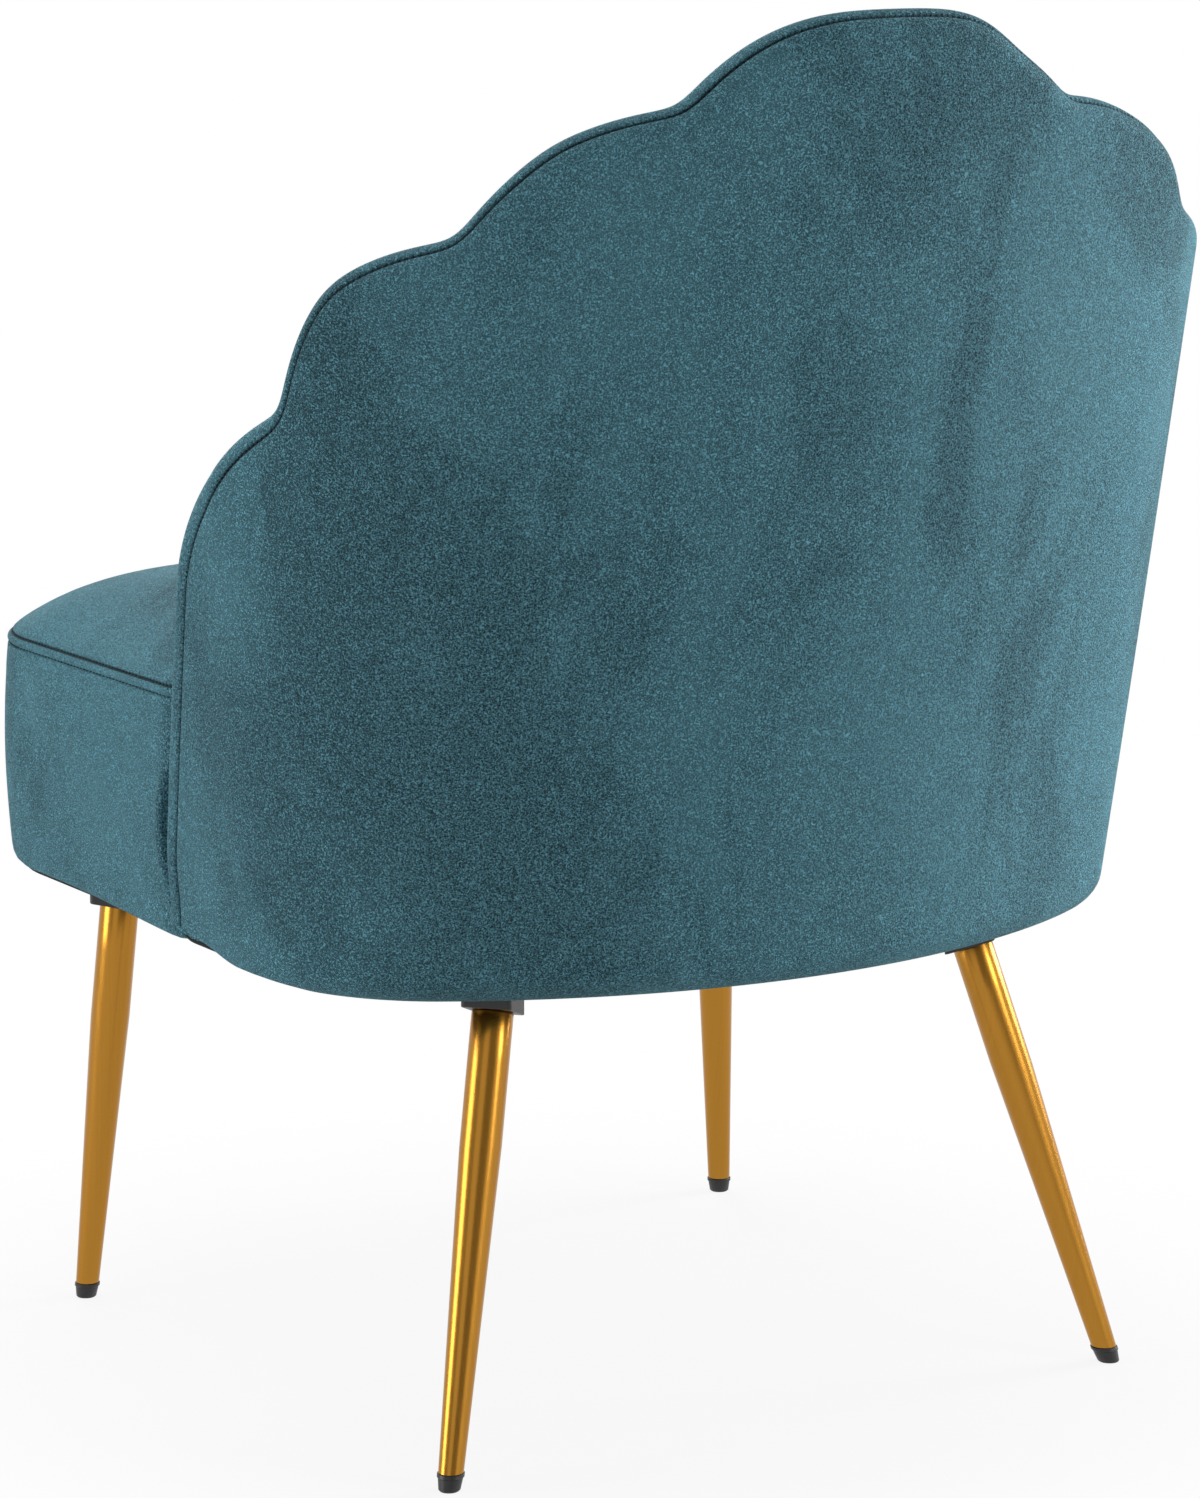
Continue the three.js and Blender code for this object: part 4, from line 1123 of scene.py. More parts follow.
    def inner_cover(self) -> Object:
        """The velvet inside, from the seam over the rim and down seven channels."""
        columns = self.edge.columns(self.ply_bottom, self.column_count)
        grid, away = self._pad_grid(columns, 0.0, self.field_rows)
        behind = (0.0, self.wall.origin_y + self.behind_y, self.middle_height)
        piece = grid_object("back_inner_cover", grid, behind, self._uv(columns, away))
        thicken(piece, self.skin)
        return dressed(piece, self.velvet, "inner_back_cover")

    def padding(self) -> Object:
        """The channelled foam between the inner cover and the plywood."""
        columns = self.edge.columns(self.ply_bottom, self.column_count)
        rows = self.field_rows // 4
        soft, _ = self._pad_grid(columns, self.skin + self.pad_gap, rows)
        shares = np.linspace(0, 1, rows)
        field_places = self.edge.field(columns, self.ply_bottom, self.pad_bottom, shares)
        hooked = len(self.hook_depths)
        extra = soft.shape[1] - rows - hooked
        run_in = np.linspace(self.hook_inset, self.edge.rim_depth - self.hook_margin, extra)
        hook = np.concatenate([np.full(hooked, self.hook_inset), run_in])
        hook_places = columns.edge[:, None] - columns.out[:, None] * hook[None, :, None]
        places = np.concatenate([hook_places, field_places], axis=1)
        depths = np.concatenate([self.hook_depths, np.full(extra + rows, self.ply_face)])
        hard = self._on_wall(places, np.broadcast_to(depths, places.shape[:2]))
        piece = shell_between("back_padding", soft, hard)
        return dressed(piece, self.foam, "back_foam")

    def stitches(self) -> Object:
        """The row of stitches in the seam behind the rim."""
        columns = self.edge.columns(self.turn_height, self.stitch_columns)
        seam = self.rim.seam(columns.edge[:, 0])[:, None]
        arcs = seam + self.stitch_offset
        places, depths = self._rim_grid(columns, arcs, seam, -self.stitch_lift)
        path = self._on_wall(places, depths)[:, 0]
        row = StitchRow("back_seam_stitches", self.stitch_pitch, length=0.0031, thickness=0.0008)
        return carried(row.along([path], self.thread))


# Shader groups that several finishes share


def new_group(
    name: str, inputs: dict[str, float], outputs: Sequence[str]
) -> tuple[Graph, bpy.types.NodeOutputs, bpy.types.Node]:
    """A shader group of plain values.

    Args:
        name: The group's name.
        inputs: Its inputs and their first values.
        outputs: Its outputs.

    Returns:
        The graph, the values given to it and the node that takes its results in order.
    """
    tree = bpy.data.node_groups.new(name, "ShaderNodeTree")
    for key, value in inputs.items():
        socket = tree.interface.new_socket(key, in_out="INPUT", socket_type="NodeSocketFloat")
        socket.default_value = value
    for key in outputs:
        tree.interface.new_socket(key, in_out="OUTPUT", socket_type="NodeSocketFloat")
    graph = Graph(tree)
    given = graph.add("NodeGroupInput").outputs
    return graph, given, graph.add("NodeGroupOutput")


@dataclass(frozen=True)
class Nap:
    """Short pile: worm-like grain, dark specks between the fibres, cloudy strokes of the nap."""

    worm_range: Pair = (0.38, 0.62)
    worm_share: float = 0.86
    worm_bend: float = 0.7
    coarse_scale: float = 240.0
    coarse_range: Pair = (0.3, 0.7)
    coarse_share: float = 0.06
    speck_scale: float = 1000.0
    speck_range: Pair = (0.63, 0.73)
    stroke_range: Pair = (0.36, 0.66)
    stroke_bend: float = 0.6
    stroke_detail: float = 4.0
    stretch: Place = (1.0, 1.0, 0.55)
    roughness: float = 0.6

    def group(self) -> bpy.types.NodeTree:
        """Builds the group."""
        inputs = {"Grain Scale": 1100.0, "Stroke Scale": 7.0}
        graph, given, result = new_group("pile", inputs, ["Grain", "Speck", "Stroke", "Height"])
        place = graph.add("ShaderNodeTexCoord").outputs["Object"]
        fine = graph.noise(place, given["Grain Scale"], 1.0, self.roughness, self.worm_bend)
        worm = graph.math("MULTIPLY", graph.ramp(fine, *self.worm_range), self.worm_share)
        coarse = graph.ramp(graph.noise(place, self.coarse_scale, detail=1.0), *self.coarse_range)
        grain = graph.math("MULTIPLY_ADD", coarse, self.coarse_share, worm)
        speck = graph.ramp(graph.noise(place, self.speck_scale, detail=1.0), *self.speck_range)
        long = graph.add("ShaderNodeMapping", Vector=place, Scale=self.stretch).outputs[0]
        scale = given["Stroke Scale"]
        cloud = graph.noise(long, scale, self.stroke_detail, self.roughness, self.stroke_bend)
        graph.fill(result, (grain, speck, graph.ramp(cloud, *self.stroke_range), grain))
        return graph.tree


def pucker_group() -> bpy.types.NodeTree:
    """Small gathers that each stitch draws across a seam, from metres along it and away."""
    inputs = {"Pitch": 0.0042, "Reach": 0.004}
    graph, given, result = new_group("pucker", inputs, ["Near", "Height"])
    uv = graph.add("ShaderNodeUVMap", {"uv_map": "seam"}).outputs[0]
    split = graph.add("ShaderNodeSeparateXYZ", Vector=uv).outputs
    away = graph.math("ABSOLUTE", split[1])
    near = graph.ramp(away, 0.0, given["Reach"], 1.0, 0.0)
    turns = graph.math("DIVIDE", split[0], given["Pitch"])
    wave = graph.math("COSINE", graph.math("MULTIPLY", turns, 2 * math.pi))
    graph.fill(result, (near, graph.math("MULTIPLY", wave, near)))
    return graph.tree


def grain_group() -> bpy.types.NodeTree:
    """Long streaks along x, for wood, plywood and drawn steel."""
    inputs = {"Across": 60.0, "Along": 4.0, "Fineness": 6.0}
    graph, given, result = new_group("streaks", inputs, ["Streak", "Fine"])
    place = graph.add("ShaderNodeTexCoord").outputs["Object"]
    across = given["Across"]
    size = graph.add("ShaderNodeCombineXYZ", X=given["Along"], Y=across, Z=across).outputs[0]
    product = graph.add("ShaderNodeVectorMath", {"operation": "MULTIPLY"})
    stretched = graph.fill(product, (place, size)).outputs[0]
    streak = graph.noise(stretched, 1.0, detail=3.0)
    graph.fill(result, (streak, graph.noise(stretched, given["Fineness"], detail=2.0)))
    return graph.tree


class Groups(NamedTuple):
    """The node groups that several finishes share."""

    nap: bpy.types.NodeTree
    pucker: bpy.types.NodeTree
    grain: bpy.types.NodeTree


# Finishes


def new_material(name: str) -> tuple[Material, Graph, bpy.types.Node]:
    """A material with its emptied tree, a Principled shader and an output."""
    material = bpy.data.materials.new(name)
    graph = Graph.blank(material)
    shader = graph.add("ShaderNodeBsdfPrincipled")
    graph.finish(shader.outputs[0])
    return material, graph, shader


def scaled(colour: Colour, factor: float) -> Value:
    """A colour made lighter or darker, with full alpha."""
    return opaque(tuple(channel * factor for channel in colour))


@dataclass(frozen=True)
class Velvet:
    """Teal velvet with a short, brushed pile."""

    deep: Colour = (0.006, 0.036, 0.053)
    bright: Colour = (0.250, 0.670, 0.835)
    sheen_weight: float = 0.35
    sheen_roughness: float = 0.32
    sheen_tint: Colour = (0.42, 0.80, 0.92)
    specular: float = 0.25
    roughness: float = 0.78
    roughness_spread: float = 0.14
    grain_scale: float = 1100.0
    brushed_share: float = 0.28
    against_share: float = 0.22
    against_end: float = 0.6
    speck_share: float = 0.6
    # Darkening near the seams, a dark joint, which also paints shade in the seat's slit.
    seam_range: Pair = (0.68, 0.95)
    seam_share: float = 0.92
    gather: float = 0.6
    relief: float = 0.0018
    stitch_pitch: float = 0.0042

    def material(self, groups: Groups) -> Material:
        """Builds the finish."""
        material, graph, shader = new_material("velvet")
        pile = graph.group(groups.nap, Grain_Scale=self.grain_scale)
        pucker = graph.group(groups.pucker, Pitch=self.stitch_pitch)
        deep, bright = opaque(self.deep), opaque(self.bright)
        grained = graph.blend(pile["Grain"], deep, bright)
        with_nap = graph.math("MULTIPLY", pile["Stroke"], self.brushed_share)
        against = graph.ramp(pile["Stroke"], 0.0, self.against_end, self.against_share, 0.0)
        stroked = graph.blend(against, graph.blend(with_nap, grained, bright), deep)
        speck = graph.math("MULTIPLY", pile["Speck"], self.speck_share)
        # Darker at the seams, as a dark joint, and painted shade in the seat's slit, whose seam map
        # is drawn towards the seam there.
        seam = graph.math("MULTIPLY", graph.ramp(pucker["Near"], *self.seam_range), self.seam_share)
        colour = graph.blend(seam, graph.blend(speck, stroked, deep), deep)
        least = self.roughness - self.roughness_spread / 2
        height = graph.math("MULTIPLY_ADD", pucker["Height"], self.gather, pile["Height"])
        graph.feed(
            shader,
            Base_Color=colour,
            Roughness=graph.math("MULTIPLY_ADD", pile["Grain"], self.roughness_spread, least),
            Normal=graph.relief(height, 1.0, self.relief),
            Sheen_Weight=self.sheen_weight,
            Sheen_Roughness=self.sheen_roughness,
            Sheen_Tint=opaque(self.sheen_tint),
            Specular_IOR_Level=self.specular,
        )
        return material


@dataclass(frozen=True)
class Metal:
    """Plated or drawn metal with faint streaks."""

    name: str
    shade: Colour
    roughness: float
    roughness_spread: float = 0.10
    worn: float = 0.86
    across: float = 6.0
    along: float = 900.0
    strength: float = 0.06
    relief: float = 0.0002

    def material(self, groups: Groups) -> Material:
        """Builds the finish."""
        material, graph, shader = new_material(self.name)
        streaks = graph.group(groups.grain, Across=self.across, Along=self.along)
        streak = streaks["Streak"]
        least = self.roughness - self.roughness_spread / 2
        graph.feed(
            shader,
            Base_Color=graph.blend(streak, scaled(self.shade, self.worn), opaque(self.shade)),
            Roughness=graph.math("MULTIPLY_ADD", streak, self.roughness_spread, least),
            Normal=graph.relief(streaks["Fine"], self.strength, self.relief),
            Metallic=1.0,
        )
        return material


@dataclass(frozen=True)
class Timber:
    """Planed wood or plywood with grain along x."""

    name: str
    light: Colour
    dark: Colour
    across: float = 70.0
    figure_range: Pair = (0.35, 0.65)
    roughness: float = 0.55
    roughness_spread: float = 0.2
    strength: float = 0.25
    relief: float = 0.0005

    def material(self, groups: Groups) -> Material:
        """Builds the finish."""
        material, graph, shader = new_material(self.name)
        streaks = graph.group(groups.grain, Across=self.across)
        figure = graph.ramp(streaks["Streak"], *self.figure_range)
        fine, spread = streaks["Fine"], self.roughness_spread
        graph.feed(
            shader,
            Base_Color=graph.blend(figure, opaque(self.dark), opaque(self.light)),
            Roughness=graph.math("MULTIPLY_ADD", fine, spread, self.roughness),
            Normal=graph.relief(fine, self.strength, self.relief),
        )
        return material


@dataclass(frozen=True)
class Matted:
    """A plain material with fine pores or fibres: plastic, thread, foam, felt or lining."""

    name: str
    shade: Colour
    roughness: float
    pore_scale: float
    contrast: float
    strength: float = 0.3
    relief: float = 0.0004
    pore_range: Pair = (0.35, 0.65)
    roughness_spread: float = 0.2

    def material(self) -> Material:
        """Builds the finish."""
        material, graph, shader = new_material(self.name)
        place = graph.add("ShaderNodeTexCoord").outputs["Object"]
        pores = graph.noise(place, self.pore_scale, detail=3.0, roughness=0.6)
        low, high = (scaled(self.shade, 1 + sign * self.contrast) for sign in (-1, 1))
        spread = self.roughness_spread
        graph.feed(
            shader,
            Base_Color=graph.blend(graph.ramp(pores, *self.pore_range), low, high),
            Roughness=graph.math("MULTIPLY_ADD", pores, spread, self.roughness - spread / 2),
            Normal=graph.relief(pores, self.strength, self.relief),
        )
        return material


class Finishes:
    """Every finish of the chair, each built once."""

    def __init__(self) -> None:
        """Builds the shared groups and the materials."""
        groups = Groups(Nap().group(), pucker_group(), grain_group())
        self.velvet = Velvet().material(groups)
        self.gold = Metal("gold_metal", (0.44, 0.205, 0.030), 0.24).material(groups)
        self.steel = Metal("steel", (0.52, 0.53, 0.55), 0.34).material(groups)
        self.wood = Timber("wood", (0.50, 0.31, 0.15), (0.36, 0.20, 0.085)).material(groups)
        plywood = Timber("plywood", (0.58, 0.40, 0.21), (0.46, 0.29, 0.14), across=24.0)
        self.plywood = plywood.material(groups)
        self.plastic = Matted(
            "black_plastic", (0.012, 0.012, 0.013), 0.42, 900.0, contrast=0.25, strength=0.15
        ).material()
        self.thread = Matted(
            "thread", (0.010, 0.026, 0.034), 0.8, 2400.0, contrast=0.3
        ).material()
        self.foam = Matted(
            "foam", (0.74, 0.68, 0.46), 0.95, 420.0, contrast=0.12, strength=0.5, relief=0.001
        ).material()
        self.felt = Matted(
            "felt", (0.16, 0.16, 0.16), 0.95, 700.0, contrast=0.3, strength=0.6, relief=0.001
        ).material()
        self.lining = Matted(
            "lining", (0.010, 0.010, 0.010), 0.85, 1100.0, contrast=0.35, strength=0.4
        ).material()

    def on_nodes(self, nodes: dict[str, Object]) -> None:
        """Gives each node that no piece replaces its finish."""
        bare = (
            (self.wood, ("seat_rail", "front_corner", "corner_block", "shell_batten")),
            (self.plywood, ("back_frame",)),
            (self.steel, ("shell_bolt", "seat_spring", "spring_clip", "leg_stud", "leg_nut")),
        )
        for name, node in nodes.items():
            for material, starts in bare:
                if name.startswith(starts):
                    for slot in node.material_slots:
                        slot.material = material


# Cloth


@dataclass(frozen=True)
class Plumping:
    """A short cloth simulation of a padded body, whose swelling its modelled cover takes over."""

    cell: float = 0.006
    pressure: float = 4.0
    quality: int = 4
    frames: int = 20
    reach: float = 0.006
    neighbours: int = 6

    def _cells(self, body: Object) -> Object:
        """An evenly remeshed copy of a closed body."""
        remesh = body.modifiers.new("cells", "REMESH")
        remesh.mode = "VOXEL"
        remesh.voxel_size = self.cell
        mesh = evaluated_mesh(body)
        body.modifiers.remove(remesh)
        return linked("plumped", mesh)

    def _swelling(self, copy: Object, held: Array, rest: Array) -> Array:
        """How far each of the copy's points moves under pressure.

        Args:
            copy: The remeshed body.
            held: How firmly each of its points is held, from 0 to 1.
            rest: Its points before.

        Returns:
            The movements.
        """
        scene = bpy.context.scene
        group = copy.vertex_groups.new(name="held")
        for number, weight in enumerate(held):
            group.add([number], float(weight), "REPLACE")
        cloth = copy.modifiers.new("cloth", "CLOTH")
        cloth.settings.use_pressure = True
        cloth.settings.uniform_pressure_force = self.pressure
        cloth.settings.vertex_group_mass = group.name
        cloth.settings.effector_weights.gravity = 0.0
        cloth.settings.quality = self.quality
        cloth.point_cache.frame_start = 1
        cloth.point_cache.frame_end = self.frames
        for frame in range(1, self.frames + 1):
            scene.frame_set(frame)
        moved = points_of(copy.evaluated_get(bpy.context.evaluated_depsgraph_get()).data)
        scene.frame_set(1)
        return moved - rest

    def apply(self, cover: Object, body: Object, hold: Callable[[Array], Array]) -> None:
        """Args:
            cover: The cover, still without thickness.
            body: The closed body inside it.
            hold: Gives how firmly each of some points is held, from 0 to 1.
        """
        copy = self._cells(body)
        rest = points_of(copy.data)
        moves = self._swelling(copy, hold(rest), rest)
        tree = KDTree(len(rest))
        for number, place in enumerate(rest):
            tree.insert(place, number)
        tree.balance()
        points = points_of(cover.data)
        normals = np.empty(points.size, dtype=np.float32)
        cover.data.vertices.foreach_get("normal", normals)
        normals = normals.reshape(-1, 3)
        near = [[hit[1] for hit in tree.find_n(place, self.neighbours)] for place in points]
        pushed = np.einsum("ij,ij->i", moves[np.array(near)].mean(axis=1), normals)
        out = np.maximum(pushed * (1 - hold(points)), 0)
        points += normals * (self.reach * np.tanh(out / self.reach))[:, None]
        cover.data.vertices.foreach_set("co", points.astype(np.float32).ravel())
        cover.data.update()
        bpy.data.objects.remove(copy)
        log.info("%s: swollen by up to %.1f mm", cover.name, 1000 * out.max())


# Seat


@dataclass
class Seat:
    """The crowned seat: velvet cover with a twin topstitch, foam, felt deck and lining."""

    wall: Wall
    velvet: Material
    thread: Material
    foam: Material
    felt: Material
    lining: Material
    half_width: float = 0.270
    front: float = 0.362
    corner_radius: float = 0.090
    rear_line: float = 0.0357
    centre_y: float = -0.060
    centre_height: float = 0.36
    side_x: float = 0.2
    outline_points: tuple = (60, 70, 160)
    column_count: int = 520
    crowding: float = 9.0
    crowd_ahead: float = 0.006
    crowd_width: float = 0.016
    seam_height: float = 0.434
    crown: float = 0.046
    crown_fullness: float = 6.0
    crown_hole: float = 0.02
    bulge: float = 0.0030
    edge_radius: float = 0.008
    section_points: tuple = (16, 40, 160)
    section_step: float = 0.0005
    softness: float = 0.0045
    stitch_band: Pair = (-0.012, 0.006)
    rows_below: int = 40
    rows_above: int = 44
    row_spread: float = 1.3
    step_start: float = -0.038
    step_length: float = 0.035
    fold_y: float = -0.0590
    fold_draw: float = 0.0138
    fold_height: float = 0.345
    fold_reach: float = 0.046
    fold_turn: float = 0.0035
    fold_end: float = 0.001
    roll: float = 0.0014
    roll_width: float = 0.0035
    slit_bottom: Pair = (0.268, 0.020)
    slit_top: Pair = (0.398, -0.016)
    # Painted shade in the slit beside the wings: how far ahead of the fold it fades out, and at what
    # share of the slit's depth it starts and how far it takes to reach full.
    lit_reach: float = 0.009
    hidden_start: float = 0.36
    hidden_reach: float = 0.4
    sag: float = 0.007
    sag_height: float = 0.05
    sag_from: Pair = (-0.230, 0.190)
    sag_to: Pair = (-0.016, -0.036)
    hem: float = 0.020
    gap: float = 0.0003
    skin: float = 0.0023
    twin_gap: float = 0.0068
    groove: float = 0.0014
    groove_width: float = 0.0009
    ridge: float = 0.0007
    ridge_share: float = 0.4
    thread_sink: float = 0.0006
    held_above: Pair = (0.288, 0.030)
    held_seam: float = 0.008
    held_rear: Pair = (-0.060, 0.120)
    held_wing_x: Pair = (0.190, 0.050)
    held_wing_y: Pair = (-0.150, 0.050)
    foam_gap: float = 0.0006
    foam_ahead: float = 0.006
    foam_fullness: int = 4
    foam_side_rings: int = 8
    foam_crown: tuple = (0.97, 0.05, 18)
    felt_inset: float = 0.016
    lining_inset: float = 0.009
    lining_line: float = 0.028
    lining_thickness: float = 0.0008
    lining_sag: float = 0.0006
    lining_held: float = 0.9
    lining_rings: tuple = (1, 0.04, 26)

    def outline(self, inset: float, rear_line: float, count: int) -> Array:
        """The seat's plan, evenly divided but for more points at the fold.

        Args:
            inset: How far in from the full outline the front and sides lie.
            rear_line: Distance of the rear from the shell's outer face.
            count: Number of points.

        Returns:
            A closed line of points, counter-clockwise from the middle of the front.
        """
        wall = self.wall
        corner_points, side_points, rear_points = self.outline_points
        centre = np.array([self.half_width - self.corner_radius, self.corner_radius - self.front])
        turn = np.linspace(-QUARTER_TURN, 0, corner_points)
        corner = centre + (self.corner_radius - inset) * joined(np.cos(turn), np.sin(turn))
        ahead = np.linspace(centre[1], self.step_start, side_points)[1:]
        step = eased(ahead, self.step_start - self.step_length, self.step_length)
        side_x = mix(self.half_width - inset, wall.low.half_width - rear_line, step)
        runs = np.linspace(sum(wall.runs), 0, rear_points)
        rear = wall.point(runs, np.full_like(runs, wall.underside), rear_line)[:, :2]
        rear[:, 1] -= wall.origin_y
        front = [[0.0, inset - self.front]]
        line = np.concatenate([front, corner, joined(side_x, ahead), rear])
        whole = np.concatenate([line, (line * np.array([-1, 1]))[-2::-1]])
        at_fold = bump(whole[:, 1] - self.fold_y + self.crowd_ahead, self.crowd_width)
        crowd = 1 + self.crowding * at_fold * (np.abs(whole[:, 0]) > self.side_x)
        steps = (crowd[1:] + crowd[:-1]) / 2 * np.diff(arc_lengths(whole))
        places = np.concatenate([[0.0], np.cumsum(steps)])
        return resample(whole, np.linspace(0, places[-1], count, endpoint=False), places)

    def _folded(self, outline: Array, height: Array, ahead: float = 0.0) -> tuple[Array, Array]:
        """The outline at each height, folded in ahead of the wing where the slit gapes.

        Args:
            outline: The seat's plan.
            height: The heights.
            ahead: How much further forward the fold lies, for a layer under the cover.

        Returns:
            The points, [column][height], and how much painted shade each gets in the slit, from 0 to
            1, by how deep in the slit it lies.
        """
        rise = np.clip(1 - ((height - self.fold_height) / self.fold_reach) ** 2, 0, 1)
        fold = self.fold_y - self.fold_draw * rise - ahead
        gaping = eased(height, *self.slit_bottom) * eased(height, *self.slit_top)
        x, y = outline[:, None, 0], outline[:, None, 1]
        on_side = (y > self.corner_radius - self.front) & (y < self.step_start + self.fold_end)
        turned = on_side * eased(y, fold, self.fold_turn) * gaping
        room = np.maximum(np.abs(x) - self.wall.low.half_width + self.rear_line, 0)
        roll = self.roll * bump(y - fold + self.roll_width, self.roll_width) * gaping * on_side
        out = np.abs(x) - room * turned + roll
        # The painted shade of the slit fades out ahead of the fold, where the turned side faces the
        # light.
        lit = eased(y, fold + self.fold_turn, self.lit_reach)
        return joined(np.sign(x) * out, np.broadcast_to(y, out.shape)), turned * (1 - lit)

    def _sagged(self, grid: Array, profile: Array) -> Array:
        """The cover with its lower edge hanging a little beside the wings."""
        y = grid[..., 1] - self.wall.origin_y
        low = eased(profile[:, 1], self.wall.underside + self.sag_height, -self.sag_height)
        inner = 1 - np.clip(profile[:, 0] / self.hem, 0, 1)
        along = eased(y, *self.sag_from) * eased(y, *self.sag_to)
        on_side = np.abs(grid[..., 0]) > self.side_x
        grid[..., 2] -= self.sag * along * low * inner * on_side
        return grid

    def ring(self, outline: Array, inward: Number, height: Number) -> Array:
        """The outline drawn smaller towards its centre, at a height, in the frame."""
        scale = 1 - inward / self.half_width
        x = outline[..., 0] * scale
        y = mix(self.centre_y, outline[..., 1], scale) + self.wall.origin_y
        return joined(x, y, np.broadcast_to(height, x.shape))

    def _profile(self) -> tuple[Array, Array]:
        """The cover's section.

        Returns:
            Insets and heights from the hem to the middle of the crown, and each point's
            distance from the upper stitch line.
        """
        edge_points, band_points, crown_points = self.section_points
        bottom = self.wall.underside + self.gap
        low = bottom + self.edge_radius
        turn = np.linspace(0, QUARTER_TURN, edge_points)
        edge = joined(self.edge_radius * (1 - np.sin(turn)), low - self.edge_radius * np.cos(turn))
        share = np.linspace(0, 1, band_points)
        band = joined(-self.bulge * np.sin(math.pi * share), mix(low, self.seam_height, share))
        rise = np.linspace(1, self.crown_hole, crown_points)
        height = self.seam_height + self.crown * (1 - rise**self.crown_fullness)
        crown = joined(self.half_width * (1 - rise), height)
        line = np.concatenate([[[self.hem, bottom]], edge, band[1:], crown[1:]])
        at, step = arc_lengths(line), self.section_step
        even = rounded(resample(line, np.arange(0, at[-1], step), at), self.softness, step)
        along = arc_lengths(even)
        seam = float(np.interp(self.seam_height, even[:, 1], along))
        first, last = self.stitch_band
        below = np.linspace(-seam, first - step, self.rows_below)
        spread = np.linspace(0, 1, self.rows_above) ** self.row_spread
        above = mix(last + step, along[-1] - seam, spread)
        away = np.concatenate([below, np.arange(first, last, step), above])
        return resample(even, away + seam, along), away

    def cover(self) -> Object:
        """The velvet cover, one skin with the top panel and the band."""
        profile, away = self._profile()
        outline = self.outline(0.0, self.rear_line, self.column_count)
        twin = away + self.twin_gap
        sunk = self.groove * (bump(away, self.groove_width) + bump(twin, self.groove_width))
        between = bump(away + self.twin_gap / 2, self.twin_gap * self.ridge_share)
        shaped = profile - normals_of(profile) * (sunk - self.ridge * between)[:, None]
        folded, slit_shade = self._folded(outline, shaped[:, 1])
        grid = self._sagged(self.ring(folded, *shaped.T), shaped)
        uv = joined(*np.meshgrid(arc_lengths(outline), away, indexing="ij"))
        # Painted shade: in the slit the seam map's distance is drawn towards the seam, so that the
        # velvet's seam darkening paints the slit dark.
        uv[..., 1] *= 1 - np.clip((slit_shade - self.hidden_start) / self.hidden_reach, 0, 1)
        self.stitch_paths = [
            self._stitch_path(outline, profile, away, line) for line in (0.0, -self.twin_gap)
        ]
        middle = (0.0, 0.0, self.centre_height)
        piece = grid_object("seat_velvet_cover", grid, middle, uv, loop=True)
        self._close_crown(piece, *grid.shape[:2])
        body = ring_body("seat_body", self._foam_rings())
        Plumping().apply(piece, body, self._held)
        bpy.data.objects.remove(body)
        thicken(piece, self.skin)
        return dressed(piece, self.velvet, "seat_cover")

    @staticmethod
    def _close_crown(piece: Object, columns: int, rows: int) -> None:
        """Closes the small hole left in the middle of the crown.

        Args:
            piece: The cover.
            columns: Number of its columns.
            rows: Number of its rows, of which the last is the hole's edge.
        """
        with editing(piece) as shape:
            shape.verts.ensure_lookup_table()
            ring = [shape.verts[column * rows + rows - 1] for column in range(columns)]
            hub = shape.verts.new(sum((vert.co for vert in ring), Vector()) / columns)
            layer = shape.loops.layers.uv["seam"]
            for near, far in zip(ring, ring[1:] + ring[:1]):
                face = shape.faces.new((near, far, hub))
                face.smooth = True
                face.normal_update()
                if face.normal.z < 0:
                    face.normal_flip()
                for loop in face.loops:
                    loop[layer].uv = (0.0, FAR_FROM_SEAM)

    def _stitch_path(self, outline: Array, profile: Array, away: Array, line: float) -> Array:
        """Path of a stitch line, from one wing round the front to the other.

        Args:
            outline: The seat's plan.
            profile: The cover's section.
            away: Distance of each of its points from the upper stitch line.
            line: The distance at which this line lies.

        Returns:
            The path's points.
        """
        inward, height = (np.interp(line, away, column) for column in profile.T)
        ring = self.ring(outline, inward + self.thread_sink, height)
        seen = ring[ring[:, 1] < self.wall.origin_y + self.step_start]
        return seen[np.argsort(np.arctan2(seen[:, 0], -seen[:, 1]))]

    def stitches(self) -> Object:
        """The twin rows of topstitching round the seat."""
        row = StitchRow("seat_topstitches", pitch=0.0046, length=0.0034, thickness=0.0009)
        return carried(row.along(self.stitch_paths, self.thread))

    def _held(self, points: Array) -> Array:
        """How firmly the fabric is held: at its hem, stitches and rear, and beside the wings."""
        x, y, z = np.abs(points[:, 0]), points[:, 1] - self.wall.origin_y, points[:, 2]
        sewn = bump(z - self.seam_height + self.twin_gap / 2, self.held_seam)
        rear = eased(y, *self.held_rear)
        wings = eased(x, *self.held_wing_x) * eased(y, *self.held_wing_y)
        return 1 - eased(z, *self.held_above) * (1 - sewn) * (1 - rear) * (1 - wings)

    def _foam_rings(self) -> list[Array]:
        """Rings of the foam inside the cover, from its underside to its crown."""
        outline = self.outline(0.0, self.rear_line, self.column_count // 4)
        depth = self.skin + self.foam_gap
        bottom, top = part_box("seat_foam")[0].z, self.seam_height - 2 * depth
        heights = np.linspace(bottom, top, self.foam_side_rings)
        section = [(2 * depth, height) for height in heights]
        for share in np.linspace(*self.foam_crown):
            rise = self.crown * (1 - share**self.foam_fullness)
            section.append((mix(self.half_width, depth, share), self.seam_height - depth + rise))
        rings = []
        for inward, height in section:
            plan = self._folded(outline, np.array([height]), self.foam_ahead)[0][:, 0]
            rings.append(self.ring(plan, inward, height))
        return rings

    def padding(self) -> Object:
        """The crowned foam inside the cover."""
        piece = ring_body("seat_padding", self._foam_rings())
        return dressed(piece, self.foam, "seat_foam")

    def deck(self) -> Object:
        """The felt that lies on the springs."""
        low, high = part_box("deck_felt")
        outline = self.outline(0.0, self.rear_line, self.column_count // 4)
        rings = [self.ring(outline, self.felt_inset, height) for height in (low.z, high.z)]
        piece = dressed(ring_body("deck_felt_pad", rings), self.felt, "deck_felt")
        return piece

